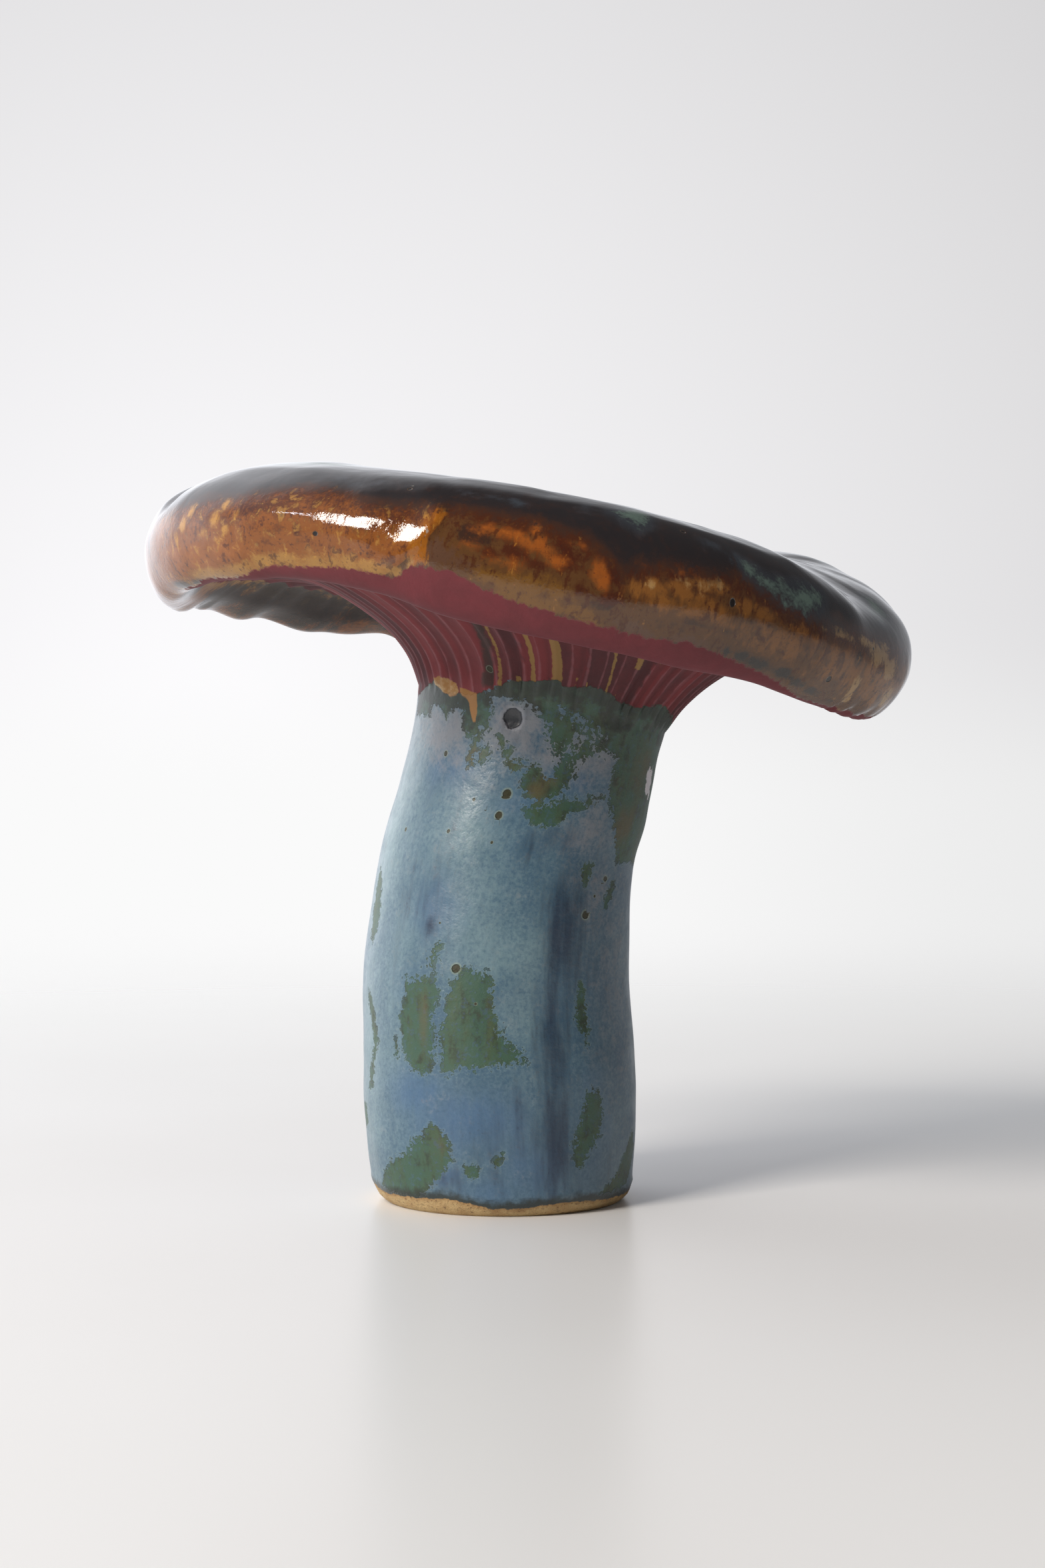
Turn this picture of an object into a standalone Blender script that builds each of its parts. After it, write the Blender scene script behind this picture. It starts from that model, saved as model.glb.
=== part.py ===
"""A hand-built stoneware mushroom, glazed and fired as one solid piece.

It is turned as a straight blank, with a foot, a stem, a hollowed underside, a thick rolled rim and a low
dome, and the blank is then shaped as a hand would do it: the stem leans, the cap tips with it and sits off
centre, the rim waves, and the gills are carved into the underside, unevenly spaced and unevenly deep.

Metres, +Z up. The foot's centre is on the origin and the front faces -Y.
"""

from math import atan2, cos, exp, hypot, radians, sin

import bmesh
import bpy
from mathutils import Matrix, Vector

# Driving dimensions
MM = 0.001
WELD = 0.01 * MM
NECK_HEIGHT = 65.6 * MM
NECK_RADIUS = 16.6 * MM
CAP_RADIUS = 51.3 * MM
CAP_DEPTH_SHARE = 0.92
CAP_TIP_RIGHT = radians(11.0)
CAP_TIP_BACK = radians(2.3)
CAP_SHIFT = -5.1 * MM
CAP_SHIFT_WHOLE = 36.0 * MM

# One column of faces runs down each gill's groove and one along its ridge
GILLS = 60
COLUMNS_PER_GILL = 2
GILL_DEPTH = 0.9 * MM
GILLS_START, GILLS_WHOLE = -1.0 * MM, 3.0 * MM
GILLS_FADE, GILLS_END = 40.0 * MM, 43.5 * MM
GILLS_FACE_DOWN = 34.0 * MM

# Hand-made unevenness: waves in one turn, phase, size
OUTLINE_WAVES = ((3, 2.17, 0.010), (5, 1.17, 0.008))
GILL_SPACING_WAVES = ((5, 0.7, 0.016), (9, 2.1, 0.010))
GILL_DEPTH_WAVES = ((7, 1.0, 0.16), (13, 0.3, 0.12))

# The bare clay foot: a flat face with a rounded edge
FOOT_FACE_RADIUS = 15.6 * MM
FOOT_EDGE = ((16.7 * MM, 0.9 * MM), (17.2 * MM, 2.6 * MM))

# The stem's stations up to the neck: height, radius, and how far the centre stands to the right
STEM = (
    (8.6 * MM, 17.8 * MM, -0.3 * MM),
    (17.5 * MM, 18.0 * MM, -0.6 * MM),
    (30.9 * MM, 17.5 * MM, -0.9 * MM),
    (44.2 * MM, 16.8 * MM, 0.2 * MM),
    (53.1 * MM, 16.4 * MM, 2.4 * MM),
    (61.0 * MM, 16.2 * MM, 4.1 * MM),
    (NECK_HEIGHT, NECK_RADIUS, 5.0 * MM),
)
STEM_RINGS = 2
CENTRE_LINE_STEPS = 8
TIP_STARTS = 34.0 * MM

# The cap's stations from the neck out and over to the middle of the top: radius, height over the neck
UNDERSIDE = (
    (18.8 * MM, 3.9 * MM),
    (22.3 * MM, 7.3 * MM),
    (28.0 * MM, 10.5 * MM),
    (34.0 * MM, 12.0 * MM),
    (39.5 * MM, 12.0 * MM),
)
ROLLED_RIM = (
    (42.6 * MM, 10.4 * MM),
    (44.6 * MM, 8.6 * MM),
    (46.4 * MM, 7.6 * MM),
    (48.4 * MM, 8.4 * MM),
    (50.3 * MM, 11.0 * MM),
    (CAP_RADIUS, 14.4 * MM),
    (50.8 * MM, 17.8 * MM),
    (48.9 * MM, 20.8 * MM),
    (45.6 * MM, 23.2 * MM),
)
TOP = (
    (40.0 * MM, 24.7 * MM),
    (31.0 * MM, 25.8 * MM),
    (20.0 * MM, 26.5 * MM),
    (9.0 * MM, 26.9 * MM),
    (0.0, 27.0 * MM),
)
LIP_SIDE, TOP_SIDE = 9.0 * MM, 22.0 * MM
RIM_MOVES_FROM, RIM_MOVES_WHOLE = 27.0 * MM, 47.0 * MM

# Where the hand lifted or pressed the rim: direction from +X, half width, lift
LIP_LIFTS = (
    (radians(-15.0), radians(20.0), -1.4 * MM),
    (radians(-122.0), radians(20.0), 2.0 * MM),
    (radians(180.0), radians(22.0), -3.5 * MM),
    (radians(142.0), radians(24.0), -2.2 * MM),
    (radians(38.0), radians(32.0), 3.2 * MM),
)
TOP_LIFTS = (
    (radians(-20.0), radians(15.0), -2.4 * MM),
    (radians(19.0), radians(20.0), 3.2 * MM),
    (radians(-125.0), radians(24.0), -0.6 * MM),
    (radians(184.0), radians(27.0), -3.6 * MM),
    (radians(84.0), radians(20.0), -1.6 * MM),
)

# Where the glazes meet: heights over the foot, then over the neck, and the radius inside which the top is dark
GLAZE_FROM = 1.8 * MM
ROSE_FROM, AMBER_FROM, DARK_FROM = 1.0 * MM, 12.0 * MM, 19.0 * MM
AMBER_OUTSIDE = 46.0 * MM
SHARP_FROM = radians(50.0)


def eased(value, low, high):
    """0 below low, 1 above high, and a smooth step between them."""
    share = min(1.0, max(0.0, (value - low) / (high - low)))
    return share * share * (3.0 - 2.0 * share)


def smooth_through(stations, rings):
    """Points of a smooth curve through the stations, with this many steps between each two."""
    stations = [Vector(station) for station in stations]
    ends = [2 * stations[0] - stations[1], *stations, 2 * stations[-1] - stations[-2]]
    points = [stations[0]]
    for before, start, end, after in zip(ends, ends[1:], ends[2:], ends[3:]):
        for step in range(1, rings + 1):
            t = step / rings
            bend = (
                2 * start
                + t * (end - before)
                + t * t * (2 * before - 5 * start + 4 * end - after)
                + t * t * t * (3 * start - before - 3 * end + after)
            )
            points.append(bend / 2)
    return points


def blank_profile():
    """The blank's outline as (radius, height), from the middle of the top down to the middle of the foot."""
    stem = [(FOOT_FACE_RADIUS, 0.0), *FOOT_EDGE, *((radius, height) for height, radius, _ in STEM)]
    stem = smooth_through(stem, STEM_RINGS)
    cap = [(NECK_RADIUS, 0.0), *UNDERSIDE, *ROLLED_RIM, *TOP]
    cap = [Vector((radius, NECK_HEIGHT + over_neck)) for radius, over_neck in cap]
    upward = [Vector((0.0, 0.0)), Vector((FOOT_FACE_RADIUS / 2, 0.0)), *stem, *cap[1:]]
    return list(reversed(upward))


def turned(name, profile, columns):
    """A closed mesh object, turned from the profile."""
    outline = bpy.data.meshes.new(name + "_outline")
    edges = [(i, i + 1) for i in range(len(profile) - 1)]
    outline.from_pydata([(radius, 0.0, height) for radius, height in profile], edges, [])
    guide = bpy.data.objects.new(name + "_outline", outline)
    bpy.context.scene.collection.objects.link(guide)
    screw = guide.modifiers.new("turn", "SCREW")
    screw.steps = screw.render_steps = columns
    screw.use_merge_vertices = True
    screw.merge_threshold = WELD
    bpy.context.view_layer.update()
    evaluated = guide.evaluated_get(bpy.context.evaluated_depsgraph_get())
    mesh = bpy.data.meshes.new_from_object(evaluated)
    bpy.data.objects.remove(guide)
    bm = bmesh.new()
    bm.from_mesh(mesh)
    bmesh.ops.remove_doubles(bm, verts=bm.verts, dist=WELD)
    bmesh.ops.recalc_face_normals(bm, faces=bm.faces)
    bm.to_mesh(mesh)
    bm.free()
    mesh.name = name
    return bpy.data.objects.new(name, mesh)


def waves(angle, terms):
    return sum(size * sin(count * angle + phase) for count, phase, size in terms)


def cap_outline(angle):
    """How far the rim stands out in this direction, as a share of CAP_RADIUS."""
    oval = 1.0 / hypot(cos(angle), sin(angle) / CAP_DEPTH_SHARE)
    return oval + waves(angle, OUTLINE_WAVES)


def lift(angle, spots):
    """How far the rim is lifted in this direction."""
    whole = 0.0
    for middle, half_width, height in spots:
        away = atan2(sin(angle - middle), cos(angle - middle)) / half_width
        whole += height * exp(-away * away)
    return whole


def gill_cut(radius, angle, over_neck):
    """How deep the carved grooves between the gills cut here."""
    highest_gill = UNDERSIDE[-1][1] + 1.0 * MM
    if over_neck > highest_gill:
        return 0.0
    groove = (0.5 + 0.5 * cos(GILLS * angle)) * (1.0 + waves(angle, GILL_DEPTH_WAVES))
    starts = eased(over_neck, GILLS_START, GILLS_WHOLE)
    ends = 1.0 - eased(radius, GILLS_FADE, GILLS_END)
    return GILL_DEPTH * groove * starts * ends


def stem_centre(height):
    """How far the stem's centre stands to the right at this height."""
    heights = [0.0] + [station[0] for station in STEM]
    centres = [0.0] + [station[2] for station in STEM]
    curve = smooth_through(list(zip(heights, centres)), CENTRE_LINE_STEPS)
    for low, high in zip(curve, curve[1:]):
        if height <= high.x:
            share = (height - low.x) / (high.x - low.x)
            return low.y + share * (high.y - low.y)
    return curve[-1].y


def tipped(share):
    """The turn of the cap, or of the stem's rings on the way up to it, as a share of the whole."""
    right = Matrix.Rotation(share * CAP_TIP_RIGHT, 3, "Y")
    back = Matrix.Rotation(-share * CAP_TIP_BACK, 3, "X")
    return right @ back


def shaped(point):
    """Where a point of the straight blank lies on the finished piece."""
    radius, angle = hypot(point.x, point.y), atan2(point.y, point.x)
    over_neck = point.z - NECK_HEIGHT
    height = min(point.z, NECK_HEIGHT)
    out, shift, up = 0.0, 0.0, 0.0
    if over_neck > 0.0:
        out = eased(radius, NECK_RADIUS, CAP_RADIUS)
        shift = CAP_SHIFT * eased(radius, NECK_RADIUS, CAP_SHIFT_WHOLE)
        rim = eased(radius, RIM_MOVES_FROM, RIM_MOVES_WHOLE)
        top = eased(over_neck, LIP_SIDE, TOP_SIDE)
        up = over_neck + rim * (top * lift(angle, TOP_LIFTS) + (1.0 - top) * lift(angle, LIP_LIFTS))
    if over_neck > GILLS_START:
        cut = gill_cut(radius, angle, over_neck)
        slope = eased(radius, NECK_RADIUS, GILLS_FACE_DOWN)
        radius -= cut * (1.0 - slope)
        up += cut * slope
        angle += out * waves(angle, GILL_SPACING_WAVES)
    radius *= 1.0 + out * (cap_outline(angle) - 1.0)
    across = Vector((radius * cos(angle) + shift, radius * sin(angle), up))
    turn = tipped(eased(height, TIP_STARTS, NECK_HEIGHT))
    return turn @ across + Vector((stem_centre(height), 0.0, height))


def glaze(name, colour, roughness):
    material = bpy.data.materials.new(name)
    material.use_nodes = True
    shader = material.node_tree.nodes["Principled BSDF"]
    shader.inputs["Base Color"].default_value = (*colour, 1.0)
    shader.inputs["Roughness"].default_value = roughness
    shader.inputs["Metallic"].default_value = 0.0
    material.diffuse_color = (*colour, 1.0)
    return material


def glaze_mushroom(mushroom):
    """Dips each zone of the piece in its own glaze. The foot stays bare."""
    zones = (
        glaze("bare_buff_clay", (0.56, 0.36, 0.15), 0.85),
        glaze("blue_stem_glaze", (0.13, 0.22, 0.33), 0.15),
        glaze("rose_underglaze", (0.27, 0.06, 0.09), 0.40),
        glaze("amber_rim_glaze", (0.42, 0.16, 0.03), 0.10),
        glaze("dark_top_glaze", (0.03, 0.025, 0.025), 0.08),
    )
    clay, stem, rose, amber, dark = range(len(zones))
    for material in zones:
        mushroom.data.materials.append(material)
    for face in mushroom.data.polygons:
        radius, height = hypot(face.center.x, face.center.y), face.center.z
        over_neck = height - NECK_HEIGHT
        if height < GLAZE_FROM:
            zone = clay
        elif over_neck < ROSE_FROM:
            zone = stem
        elif over_neck < AMBER_FROM:
            zone = rose
        elif radius > AMBER_OUTSIDE and over_neck < DARK_FROM:
            zone = amber
        else:
            zone = dark
        face.material_index = zone


def main():
    for old in list(bpy.data.objects):
        bpy.data.objects.remove(old)
    parts = bpy.data.collections.new("glazed_ceramic_mushroom")
    bpy.context.scene.collection.children.link(parts)
    mushroom = turned("ceramic_mushroom", blank_profile(), GILLS * COLUMNS_PER_GILL)
    parts.objects.link(mushroom)
    glaze_mushroom(mushroom)
    for vertex in mushroom.data.vertices:
        vertex.co = shaped(vertex.co)
    mushroom.data.shade_smooth()
    mushroom.data.set_sharp_from_angle(angle=SHARP_FROM)


main()
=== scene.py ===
"""A hand-built stoneware mushroom under five glazes, on a pale table in soft light.

The mushroom is turned as a straight blank and then shaped by the same sizes as the solid it replaces, with
finer relief. Angles are degrees round the blank from +X, so that the front is at -90. Heights on the stem are
millimetres over the foot. On the rim, a place is told by how many millimetres it lies round the rim from the
lip's lowest line: above 0 on the outside, below 0 on the underside.
"""

from math import cos, pi, radians, sin

import bpy
import numpy as np
from bpy.props import FloatProperty, FloatVectorProperty, IntProperty, PointerProperty
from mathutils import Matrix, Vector, noise


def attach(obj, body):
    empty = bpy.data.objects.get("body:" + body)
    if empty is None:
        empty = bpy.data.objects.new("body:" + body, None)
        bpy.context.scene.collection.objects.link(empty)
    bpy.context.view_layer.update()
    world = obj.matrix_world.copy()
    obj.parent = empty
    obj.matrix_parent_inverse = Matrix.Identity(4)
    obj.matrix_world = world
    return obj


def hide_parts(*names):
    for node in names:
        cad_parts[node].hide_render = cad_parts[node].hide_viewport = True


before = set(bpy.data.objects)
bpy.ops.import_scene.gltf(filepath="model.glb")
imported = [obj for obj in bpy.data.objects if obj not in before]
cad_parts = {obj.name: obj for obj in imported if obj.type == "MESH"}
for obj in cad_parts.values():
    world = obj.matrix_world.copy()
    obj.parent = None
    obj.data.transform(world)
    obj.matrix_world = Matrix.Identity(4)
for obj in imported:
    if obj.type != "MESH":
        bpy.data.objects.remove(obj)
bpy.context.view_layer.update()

bl_info = {
    "name": "Glazed Mushroom",
    "version": (1, 0, 0),
    "blender": (4, 5, 0),
    "location": "View3D > Sidebar > Mushroom",
    "description": "A glazed stoneware mushroom on a pale table",
    "category": "Add Mesh",
}

MM = 0.001
WELD = 0.005 * MM
TINY = 1e-9

# Spacing of the rings of faces down the profile
STEM_RINGS = 0.72 * MM
UNDERSIDE_RINGS = 0.8 * MM
RIM_RINGS = 0.62 * MM
TOP_RINGS = 1.6 * MM


def in_metres(stations):
    """Stations of the profile given in millimetres, turned to metres."""
    return tuple(tuple(size * MM for size in station) for station in stations)


# The foot, as radius and height, and the rings of faces in its flat underside
FOOT = in_metres(((15.6, 0), (16.7, 0.9), (17.2, 2.6)))
FOOT_FACE_RADIUS = FOOT[0][0]
FOOT_FACE_RINGS = (0.0, 0.25, 0.5, 0.75, 0.9)
# The stem: height over the foot, radius, and how far its middle leans along X
STEM = in_metres((
    (8.6, 17.8, -0.3), (17.5, 18, -0.6), (30.9, 17.5, -0.9), (44.2, 16.8, 0.2), (53.1, 16.4, 2.4),
    (61, 16.2, 4.1), (65.6, 16.6, 5),
))
NECK_HEIGHT, NECK_RADIUS = STEM[-1][:2]
LEAN_SPACING = 0.4 * MM
# The cap, as radius and height over the neck, with a shallow dish in its top
UNDERSIDE = in_metres(((18.8, 3.9), (22.3, 7.3), (28, 10.5), (34, 12), (39.5, 12)))
RIM = in_metres((
    (42.6, 10.4), (44.6, 8.6), (46.4, 7.6), (48.4, 8.4), (50.3, 11), (51.3, 14.4), (50.8, 17.8), (48.9, 20.8),
    (45.6, 23.1), (42.4, 24.15),
))
CAP_RADIUS = max(radius for radius, _ in RIM)
LOWEST_ON_RIM = 2
TOP = in_metres(((39, 24.9), (35, 25.35), (30, 25.3), (22, 24.7), (12, 24.1), (0, 23.9)))
DISTANCE_BATCHES = 40

# How the hand set the cap: tipped, pushed off centre and oval
CAP_DEPTH_SHARE = 0.92
CAP_TIP_RIGHT = radians(11.0)
CAP_TIP_BACK = radians(2.3)
TIP_STARTS = 34.0 * MM
CAP_SHIFT = -5.1 * MM
CAP_SHIFT_WHOLE = 36.0 * MM
LIP_SIDE, TOP_SIDE = 9.0 * MM, 22.0 * MM
RIM_MOVES_FROM, RIM_MOVES_WHOLE = 27.0 * MM, 47.0 * MM
OUTLINE_WAVES = ((3, 2.17, 0.010), (5, 1.17, 0.008))
# Where the rim is lifted, or pressed below 0: angle, half width in degrees, height in millimetres
LIP_LIFTS = ((-15, 20, -1.4), (-122, 20, 2.0), (180, 22, -3.5), (142, 24, -2.2), (38, 32, 3.2))
TOP_LIFTS = (
    (-20, 15, -2.4), (32, 24, 4.6), (-70, 20, 0.7), (-125, 24, -0.6), (-98, 26, 0.8), (184, 27, -3.9),
    (84, 20, -1.6),
)

# The crease in the top at the left: radius in millimetres, and the angle it runs at
TOP_CREASE = ((26, -182), (34, -171), (42, -164.5), (50, -161))
CREASE_HEIGHT = 0.35
CREASE_HALF_WIDTH = 1.3

# The carved gills
GILLS_START, GILLS_WHOLE = -1.0 * MM, 3.0 * MM
GILLS_FADE, GILLS_END = 40.0 * MM, 43.5 * MM
GILLS_FACE_DOWN = 34.0 * MM
GILL_SPACING_WAVES = ((5, 0.7, 0.016), (9, 2.1, 0.010), (23, 1.3, 0.012))
GILL_DEPTH_WAVES = ((7, 1.0, 0.20), (13, 0.3, 0.16), (29, 2.0, 0.20))
RIDGE_SHARPNESS = 5
GROOVE_LEAN = 0.9
GROOVE_SHALLOW_SIDE, GROOVE_DEEP_SIDE_ADDS = 0.55, 0.45
TONE_STEP, TONE_SPREAD = 12.9898, 43758.5453

# How uneven the hand left the clay: lumps everywhere, and waves along the lip at the back
BIG_LUMPS, SMALL_LUMPS = 13.0 * MM, 5.0 * MM
SMALL_LUMPS_SHARE = 0.35
LUMPS_LOST_ON_GILLS = 0.6
FAR_LIP_MIDDLE = 115.0
FAR_LIP_HEIGHT = 0.45 * MM
FAR_LIP_WAVES = ((17, 0.6, 0.7), (29, 2.2, 0.5))
# Notches under the rim: angle, and depth in millimetres
RIM_NOTCHES = ((-25.4, 0.55), (-21.2, 0.6), (-16.6, 0.55), (-12, 0.5), (-7.5, 0.3))
NOTCH_HALF_WIDTH = 0.75

# Radii at which angles are turned to millimetres across: on the stem, the rim, the lip and at the crater
STEM_RADIUS_MM, RIM_RADIUS_MM, LIP_RADIUS_MM, CRATER_RADIUS_MM = 17.3, 50.0, 48.0, 16.9

# Where the glazes meet: angle, then height over the foot, or distance round the rim
FOOT_LINE = (
    (-166, 2.4), (-154, 1.9), (-128, 2.2), (-114, 2.4), (-106, 1.9), (-94, 1.2), (-82, 1.3), (-66, 1.7),
    (-57, 1.8), (-41, 1.5), (-21, 1.4), (5, 1.8), (34, 1.6), (61, 2), (88, 2.7), (117, 2.1), (146, 1.7),
    (170, 2.3),
)
GILL_LINE = (
    (-175, 64.1), (-163, 64.9), (-147, 66.6), (-138, 64.7), (-132, 65.4), (-124, 65.2), (-118, 66.1),
    (-110.6, 67.2), (-104, 68.2), (-96, 68.6), (-88, 69.3), (-82, 68.8), (-76, 69), (-70, 69.5),
    (-64, 68.9), (-56, 68.1), (-46, 68), (-39, 68.5), (-29, 68.8), (-16, 67.9), (2, 66.4), (18, 67.3),
    (37, 66), (55, 67.4), (74, 66.7), (92, 67.9), (113, 66.2), (131, 67), (150, 65.4), (168, 66.1),
)
AMBER_LINE = (
    (-175, -6), (-168, -5), (-162, -2), (-158.7, 0.4), (-153, 0.2), (-149.8, 0.8), (-140.9, 0.8),
    (-133.4, 2.4), (-126.6, 2.9), (-121.3, 3.4), (-116.5, 3.9), (-112.1, 4.2), (-109.5, 4.3), (-106.8, 6.6),
    (-103, 7), (-99.5, 7.4), (-95.9, 6.1), (-91.1, 5.4), (-82.8, 4.8), (-76.6, 4.5), (-69.9, 4.3),
    (-64.3, 4.9), (-60.8, 4.6), (-54.3, 3.8), (-45.9, 2.2), (-36.6, 0.8), (-27.9, 1.1), (-19.7, 1.6),
    (-12.8, 2), (0, 0.6), (18, -2), (40, -5), (66, -8), (100, -9.5), (140, -9), (160, -8), (172, -7),
)
DARK_LINE = (
    (-172, 11.5), (-150.7, 11.3), (-141.4, 12.7), (-134.1, 13.7), (-129.2, 15.6), (-121.3, 15.5),
    (-115, 13.5), (-110.3, 14), (-100.4, 14.8), (-89.6, 14.6), (-82.8, 13.7), (-77.4, 10.6), (-70.1, 12.2),
    (-63.3, 12.5), (-58.3, 13.8), (-53.9, 12.6), (-46.2, 10.8), (-38.8, 10.4), (-27, 13.1), (-19.5, 13.6),
    (-13.8, 12.7), (10, 12), (40, 10.6), (70, 12.3), (100, 10.2), (130, 11.8), (160, 13),
)
# The thick amber dip: how far it stands out, and its step at the front as distance round the rim and angle
THICK_AMBER = 0.35 * MM
STEP_EDGE = (
    (3, -112.2), (4.3, -111.4), (6.9, -108.2), (8.9, -105.9), (10.4, -103.8), (12.2, -102.4), (16, -102),
)
STEP_REACH = 6.0
# Its ragged second edge at the back: the angle past which it counts, its own angle, and its waves
BACK_EDGE_COUNTS = 10.0
BACK_EDGE = 36.0
BACK_EDGE_WAVES = ((2.6, 2.3), (1.1, 0.9))

# Bare copper-green patches on the stem, which the blue glaze ran off: corners as angle and height
GREEN_PATCHES = (
    ((-116, 36), (-113.5, 35.7), (-115, 34.8), (-117, 33.8), (-118, 32.4), (-120, 32.3), (-119.6, 33.6),
     (-118, 34.8)),
    ((-131, 30.7), (-116, 31.2), (-114, 29.1), (-116, 27.3), (-118, 26.1), (-116.6, 24.3), (-116.4, 22.5),
     (-118, 21.2), (-118, 19.4), (-120.6, 18.7), (-125, 18.3), (-129.6, 19.6), (-133, 20.9), (-133.7, 23),
     (-135, 25.7), (-132, 28.2)),
    ((-138.5, 23), (-136.3, 22.9), (-137, 20.3), (-138.7, 20.7)),
    ((-104.6, 32.5), (-98.5, 32.3), (-94, 31.8), (-90.3, 30), (-92.3, 29.3), (-91, 27.5), (-89.3, 24.8),
     (-84.8, 22.8), (-80, 21.7), (-79.3, 20.4), (-85, 20.2), (-93, 19.9), (-100.7, 19.3), (-105.6, 19.9),
     (-108.7, 19.2), (-111.7, 18.8), (-114.5, 19.8), (-113.7, 22.2), (-114, 24.3), (-111, 26.2),
     (-111.5, 28), (-109.4, 29.2), (-108.4, 30.7), (-106, 31.2)),
    ((-52.5, 30.4), (-49.8, 30.7), (-49, 27), (-48.3, 24), (-50, 22.1), (-52.3, 23.5), (-55, 25.6),
     (-54, 28.3)),
    ((-34, 44.1), (-30.4, 43.2), (-33, 41.4), (-37.6, 39.7), (-39.5, 40.2), (-37, 42.1)),
    ((-55.5, 46.1), (-46.7, 46.1), (-49, 44.5), (-51, 42.9), (-53, 43.8)),
    ((-50, 16.4), (-44, 15.9), (-43, 13.1), (-44.4, 10.1), (-50, 8.4), (-55, 6.1), (-58, 6.8), (-58.4, 9.3),
     (-56, 11.3), (-53.5, 13.4), (-52, 15.5)),
    ((-118.6, 12.2), (-114.5, 11.2), (-111, 9.8), (-110.4, 7.6), (-114.6, 6), (-119, 4.7), (-124.4, 2.9),
     (-130, 2.1), (-146, 2.2), (-155, 3.1), (-151, 4.6), (-142.4, 6.8), (-132, 8.1), (-130, 9.6),
     (-125, 10.4), (-121.6, 11.7)),
    ((-106, 6.9), (-100.3, 7.2), (-98.5, 6.2), (-100.7, 5.1), (-105, 5.4)),
    ((-93, 7.8), (-89.3, 8.8), (-88.6, 7.8), (-91.5, 6.5), (-93, 6.9)),
    ((-14.7, 9.9), (-7, 7.1), (-18, 2.8), (-36.5, 2.2), (-46, 2), (-33.7, 4), (-28, 5.5), (-21.8, 7.7)),
    ((-166, 43.9), (-159.7, 42.4), (-156.7, 39.6), (-156, 36.8), (-160, 34.9), (-164.5, 35.7),
     (-165.5, 38.3), (-167, 41.1)),
    ((-160.5, 28.7), (-156.4, 27.6), (-153.3, 25.2), (-150, 22.3), (-155, 19), (-155.5, 15.9), (-161, 15.4),
     (-158.7, 19.2), (-155, 21.5), (-157.3, 24.5), (-161.4, 27.5)),
    ((-171.7, 13.4), (-164.4, 13.4), (-165.5, 10.5), (-174, 9.9)),
    ((-120, 64.6), (-110.5, 67.8), (-99, 69.5), (-84, 71), (-64.7, 71), (-47, 70.5), (-27, 70.5), (-8, 69),
     (20, 69), (24, 60), (15, 52), (2, 45.5), (-16.6, 46.3), (-32.5, 46.4), (-38, 49.9), (-46.5, 54),
     (-48.6, 55.5), (-50.7, 59), (-49, 61.1), (-55.4, 61.6), (-63, 60.8), (-69.3, 59.2), (-70.3, 58.2),
     (-77, 59.8), (-77.6, 59.3), (-82.7, 61.5), (-86, 62), (-85.4, 63.3), (-89, 64.3), (-93, 64.8),
     (-95, 65.5), (-98.6, 65.8), (-107.4, 65.9), (-114.5, 65.9)),
    ((-178, 68), (-147, 69), (-132, 68), (-120.7, 68), (-114.5, 65.9), (-112.7, 64.7), (-113, 63.3),
     (-111.6, 61.7), (-115.4, 61.1), (-117.6, 62.2), (-115.7, 60.4), (-117, 58.5), (-118, 57.3),
     (-120, 56.7), (-121, 57.9), (-118.4, 60.1), (-120, 60.6), (-123, 60.2), (-126, 61.1), (-127.3, 62),
     (-128.3, 63.6), (-132, 63.5), (-137.4, 61.9), (-143.7, 63.5), (-149, 63.2), (-150.5, 62), (-159, 61.9),
     (-170.6, 61.8)),
    ((-114.7, 59.3), (-112, 59.6), (-109.6, 58.8), (-110, 57.9), (-114, 57.2), (-119, 56.6), (-117, 57.6),
     (-115, 58.1)),
    ((-108, 61.2), (-105.6, 61.1), (-103.6, 60.2), (-100, 59.5), (-98.6, 58.4), (-94, 58.3), (-94.3, 57.4),
     (-97.3, 56.8), (-100, 57.1), (-102, 58.2), (-104.8, 59), (-107, 60.1)),
    ((-92, 56.8), (-90, 58.3), (-86.4, 58.3), (-84.6, 57.1), (-79.3, 57), (-77.6, 58.9), (-71.3, 59.4),
     (-66.7, 58.4), (-71.4, 56.7), (-73, 55.2), (-78.7, 54.1), (-84.7, 54), (-89, 54.3), (-92.6, 55.4)),
    ((-89, 52.7), (-84, 53.2), (-78.3, 53.5), (-72.6, 54.2), (-64, 54.8), (-50, 55.8), (-59, 53.9),
     (-66, 52.8), (-71.7, 51.2), (-76.3, 50.5), (-81.7, 50.8), (-85.7, 51.4)),
    # The side that the photograph doesn't show
    ((24, 70), (60, 70), (100, 71), (140, 70), (178, 69), (176, 63), (158, 62), (146, 64.5), (131, 60.5),
     (118, 63), (102, 58.5), (94, 62.5), (77, 60), (62, 64), (48, 61.5), (36, 63.5), (24, 58)),
    ((12, 34), (21, 35), (26, 29), (22, 22), (14, 21), (9, 26)),
    ((40, 15), (52, 18), (61, 13), (56, 6), (46, 4), (38, 8)),
    ((70, 41), (82, 44), (88, 38), (84, 30), (76, 27), (71, 33)),
    ((98, 27), (112, 30), (118, 22), (110, 15), (99, 17)),
    ((120, 9), (138, 12), (146, 7), (138, 2.4), (122, 2.2)),
    ((140, 40), (150, 43), (156, 36), (150, 27), (143, 31)),
)

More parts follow.
